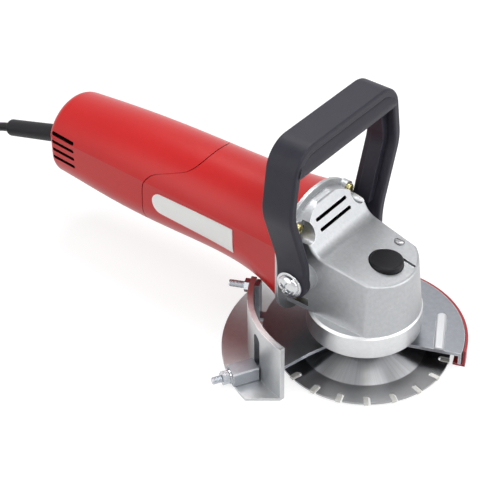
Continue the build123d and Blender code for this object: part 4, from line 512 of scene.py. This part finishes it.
def addCord(route):
    coil = coilPoints(route)
    way = coil[-1] - coil[-2]
    way = way / np.linalg.norm(way)
    tail = [coil[-1] + way * route["leadOut"]]
    points = np.concatenate([np.array(route["run"]), coil, tail]) + (spindle[0], spindle[1], 0.0)
    curve = bpy.data.curves.new("powerCord", "CURVE")
    curve.dimensions = "3D"
    spline = curve.splines.new("NURBS")
    spline.points.add(len(points) - 1)
    spline.points.foreach_set("co", np.column_stack([points, np.ones(len(points))]).ravel())
    spline.order_u = 3
    spline.use_endpoint_u = True
    spline.resolution_u = 4
    curve.bevel_depth = route["radius"]
    curve.bevel_resolution = 5
    curve.use_fill_caps = True
    curve.materials.append(materials["blackRubber"])
    cord = bpy.data.objects.new("powerCord", curve)
    bpy.context.scene.collection.objects.link(cord)
    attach(cord, "housing")
    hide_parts("cord_run", "cord_coil")


addCord(cordRoute)
print("cord laid")

# threaded ends: the free ends of the height stud and of the lock screw
threadLook = {"stud": {"body": "guard", "angle": -119.0, "height": 0.010, "from": 0.1366, "to": 0.1447},
              "lock": {"body": "lock_screw", "angle": -155.0, "height": 0.0515, "from": 0.1080, "to": 0.1217},
              "core": 0.00302, "crest": 0.00036, "pitch": 0.00125, "around": 32, "perPitch": 10}


def gridMesh(name, points):
    # a grid of points, closed round its second direction, with a fan to a middle point on each end
    rows, around = points.shape[:2]
    first = np.arange(rows * around).reshape(rows, around)
    after = np.roll(first, -1, axis=1)
    faces = np.stack([first[:-1], after[:-1], after[1:], first[1:]], axis=2).reshape(-1, 4).tolist()
    ends = [points[0].mean(axis=0)[None], points[-1].mean(axis=0)[None]]
    verts = np.concatenate([points.reshape(-1, 3), *ends])
    last = rows * around
    faces += np.stack([after[0], first[0], np.full(around, last)], axis=1).tolist()
    faces += np.stack([first[-1], after[-1], np.full(around, last + 1)], axis=1).tolist()
    mesh = bpy.data.meshes.new(name)
    mesh.from_pydata(verts.tolist(), [], faces)
    piece = bpy.data.objects.new(name, mesh)
    bpy.context.scene.collection.objects.link(piece)
    return piece


def addThread(name, look, shape):
    # radius = core + crest * triangle wave of (length / pitch - turn), fading out over the last half pitch
    steps = int((look["to"] - look["from"]) / shape["pitch"] * shape["perPitch"])
    along = np.linspace(look["from"], look["to"], steps)[:, None]
    turn = np.linspace(0, 1, shape["around"], endpoint=False)[None, :]
    wave = 1 - np.abs(2 * np.mod(along / shape["pitch"] - turn, 1.0) - 1)
    fade = np.clip((look["to"] - along) / (0.5 * shape["pitch"]), 0, 1)
    radius = shape["core"] + shape["crest"] * wave * fade
    angle = math.radians(look["angle"])
    out = np.array([math.cos(angle), math.sin(angle), 0.0])
    side = np.array([-math.sin(angle), math.cos(angle), 0.0])
    ring = np.cos(2 * math.pi * turn)[..., None] * side + np.sin(2 * math.pi * turn)[..., None] * (0, 0, 1)
    points = along[..., None] * out + radius[..., None] * ring + (spindle[0], spindle[1], look["height"])
    piece = gridMesh(name, points)
    piece.data.materials.append(materials["whiteZinc"])
    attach(piece, look["body"])


addThread("studThread", threadLook["stud"], threadLook)
addThread("lockThread", threadLook["lock"], threadLook)

# handle bolts: flanged domes with a cross recess, on both ends of the handle's axis
boltLook = {"axis": (-0.03775, 0.0, 0.091), "seat": 0.0588, "flange": 0.0125, "flangeHeight": 0.0024,
            "dome": 0.0104, "domeHeight": 0.0054, "armLength": 0.0062, "armWidth": 0.0016, "depth": 0.0030,
            "shank": 0.0050, "shankLength": 0.0190, "rimRound": 0.0006, "armFade": 0.0016, "barFade": 0.0004,
            "crossTilt": 24.0, "domeFullness": 0.85, "sharpAngle": 38.0,
            "around": 160, "domeRows": 40, "rimRows": 5}


def addBolt(name, look, side):
    # profile of radius and height turned about the axis; the cross sinks the dome inside two crossed bars
    dome = np.linspace(0.0, 1.0, look["domeRows"]) * look["dome"]
    bulge = np.sqrt(np.maximum(1 - (dome / look["dome"]) ** 2, 0)) ** look["domeFullness"]
    domeHeight = look["flangeHeight"] + look["domeHeight"] * bulge
    quarter = np.linspace(0, math.pi / 2, look["rimRows"])
    rim = look["flange"] - look["rimRound"] * (1 - np.sin(quarter))
    rimHeight = look["flangeHeight"] - look["rimRound"] * (1 - np.cos(quarter))
    radius = np.concatenate([dome, rim, [look["flange"], look["shank"], look["shank"]]])
    height = np.concatenate([domeHeight, rimHeight, [0.0, 0.0, -look["shankLength"]]])
    turn = 2 * math.pi * np.arange(look["around"]) / look["around"]
    across = radius[:, None] * np.cos(turn)[None, :]
    up = radius[:, None] * np.sin(turn)[None, :]
    fall = np.clip((look["armLength"] - radius) / look["armFade"], 0, 1)[:, None]
    bar = np.minimum(np.abs(across), np.abs(up))
    sink = np.clip((look["armWidth"] - bar) / look["barFade"], 0, 1) * fall * look["depth"]
    rise = height[:, None] - np.where(height[:, None] > look["flangeHeight"], sink, 0.0)
    tilt = math.radians(look["crossTilt"])
    turnedX = across * math.cos(tilt) - up * math.sin(tilt)
    turnedZ = across * math.sin(tilt) + up * math.cos(tilt)
    points = np.stack([turnedX * side, side * (look["seat"] + rise), turnedZ], axis=2)
    points = points + (spindle[0] + look["axis"][0], spindle[1], look["axis"][2])
    piece = gridMesh(name, points)
    piece.data.materials.append(materials["brightPlate"])
    piece.data.shade_smooth()
    piece.data.set_sharp_from_angle(angle=math.radians(look["sharpAngle"]))
    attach(piece, "housing")
    return piece


nearBolt = addBolt("nearBolt", boltLook, -1)
addBolt("farBolt", boltLook, 1)
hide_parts("handle_bolts")
print("threads and bolts made")

# stage: a wide pale floor that keeps the shadow, and a plain white surround
stageLook = {"floor": (0.38, 0.38, 0.38), "reach": 40.0, "lift": 0.73, "ambient": 0.5,
             "ceilingFrom": (0.25, 0.85), "ceilingTones": (1.0, 0.5),
             "key": {"place": (-0.28, 0.52, 1.50), "size": 0.8, "power": 48.0},
             "fill": {"place": (-0.30, -1.40, 0.95), "size": 1.9, "power": 48.0},
             "side": {"place": (1.15, 0.45, 0.60), "size": 1.0, "power": 24.0},
             "glint": {"place": (0.90, -0.31, 1.27), "size": 0.7, "power": 24.0}}


def seenRays(tree):
    # 1 for rays that show the surround: from the camera, mirrored or passing through
    path = addNode(tree, "ShaderNodeLightPath")
    seen = addNode(tree, "ShaderNodeMath", operation="MAXIMUM")
    clear = addNode(tree, "ShaderNodeMath", operation="MAXIMUM")
    tree.links.new(path.outputs["Is Camera Ray"], seen.inputs[0])
    tree.links.new(path.outputs["Is Glossy Ray"], seen.inputs[1])
    tree.links.new(seen.outputs[0], clear.inputs[0])
    tree.links.new(path.outputs["Is Transmission Ray"], clear.inputs[1])
    return clear.outputs[0]


def addFloor(look):
    mesh = bpy.data.meshes.new("floor")
    far = look["reach"]
    mesh.from_pydata([(-far, -far, 0), (far, -far, 0), (far, far, 0), (-far, far, 0)], [], [(0, 1, 2, 3)])
    material = bpy.data.materials.new("paleFloor")
    material.use_nodes = True
    tree = material.node_tree
    tree.nodes.clear()
    out = addNode(tree, "ShaderNodeOutputMaterial")
    matte = addNode(tree, "ShaderNodeBsdfDiffuse", Color=(*look["floor"], 1))
    glow = addNode(tree, "ShaderNodeEmission", Color=(1, 1, 1, 1))
    level = addNode(tree, "ShaderNodeMath", operation="MULTIPLY")
    level.inputs[1].default_value = look["lift"]
    total = addNode(tree, "ShaderNodeAddShader")
    tree.links.new(seenRays(tree), level.inputs[0])
    tree.links.new(level.outputs[0], glow.inputs["Strength"])
    tree.links.new(matte.outputs[0], total.inputs[0])
    tree.links.new(glow.outputs[0], total.inputs[1])
    tree.links.new(total.outputs[0], out.inputs["Surface"])
    mesh.materials.append(material)
    floorObj = bpy.data.objects.new("floor", mesh)
    bpy.context.scene.collection.objects.link(floorObj)


def addWorld(look):
    world = bpy.data.worlds.new("studio")
    bpy.context.scene.world = world
    world.use_nodes = True
    tree = world.node_tree
    back = tree.nodes["Background"]
    level = addNode(tree, "ShaderNodeMapRange")
    level.inputs["To Min"].default_value = look["ambient"]
    level.inputs["To Max"].default_value = 1.0
    tree.links.new(seenRays(tree), level.inputs["Value"])
    # white round the horizon, greyer overhead, as under a studio ceiling
    sky = addNode(tree, "ShaderNodeTexCoord")
    parts = addNode(tree, "ShaderNodeSeparateXYZ")
    ceiling = addNode(tree, "ShaderNodeMapRange")
    ceiling.inputs["From Min"].default_value, ceiling.inputs["From Max"].default_value = look["ceilingFrom"]
    ceiling.inputs["To Min"].default_value, ceiling.inputs["To Max"].default_value = look["ceilingTones"]
    total = addNode(tree, "ShaderNodeMath", operation="MULTIPLY")
    tree.links.new(sky.outputs["Generated"], parts.inputs[0])
    tree.links.new(parts.outputs["Z"], ceiling.inputs["Value"])
    tree.links.new(level.outputs["Result"], total.inputs[0])
    tree.links.new(ceiling.outputs["Result"], total.inputs[1])
    tree.links.new(total.outputs[0], back.inputs["Strength"])
    back.inputs["Color"].default_value = (1, 1, 1, 1)


def addLamp(name, look):
    # a soft round lamp that shines all ways, so that no edge of light falls on the floor
    data = bpy.data.lights.new(name, "POINT")
    data.shadow_soft_size = look["size"] / 2
    data.energy = look["power"]
    lamp = bpy.data.objects.new(name, data)
    lamp.location = look["place"]
    bpy.context.scene.collection.objects.link(lamp)


addFloor(stageLook)
addWorld(stageLook)
for lampName in ("key", "fill", "side", "glint"):
    addLamp(lampName, stageLook[lampName])
bpy.context.scene.view_settings.view_transform = "Standard"
print("stage set")
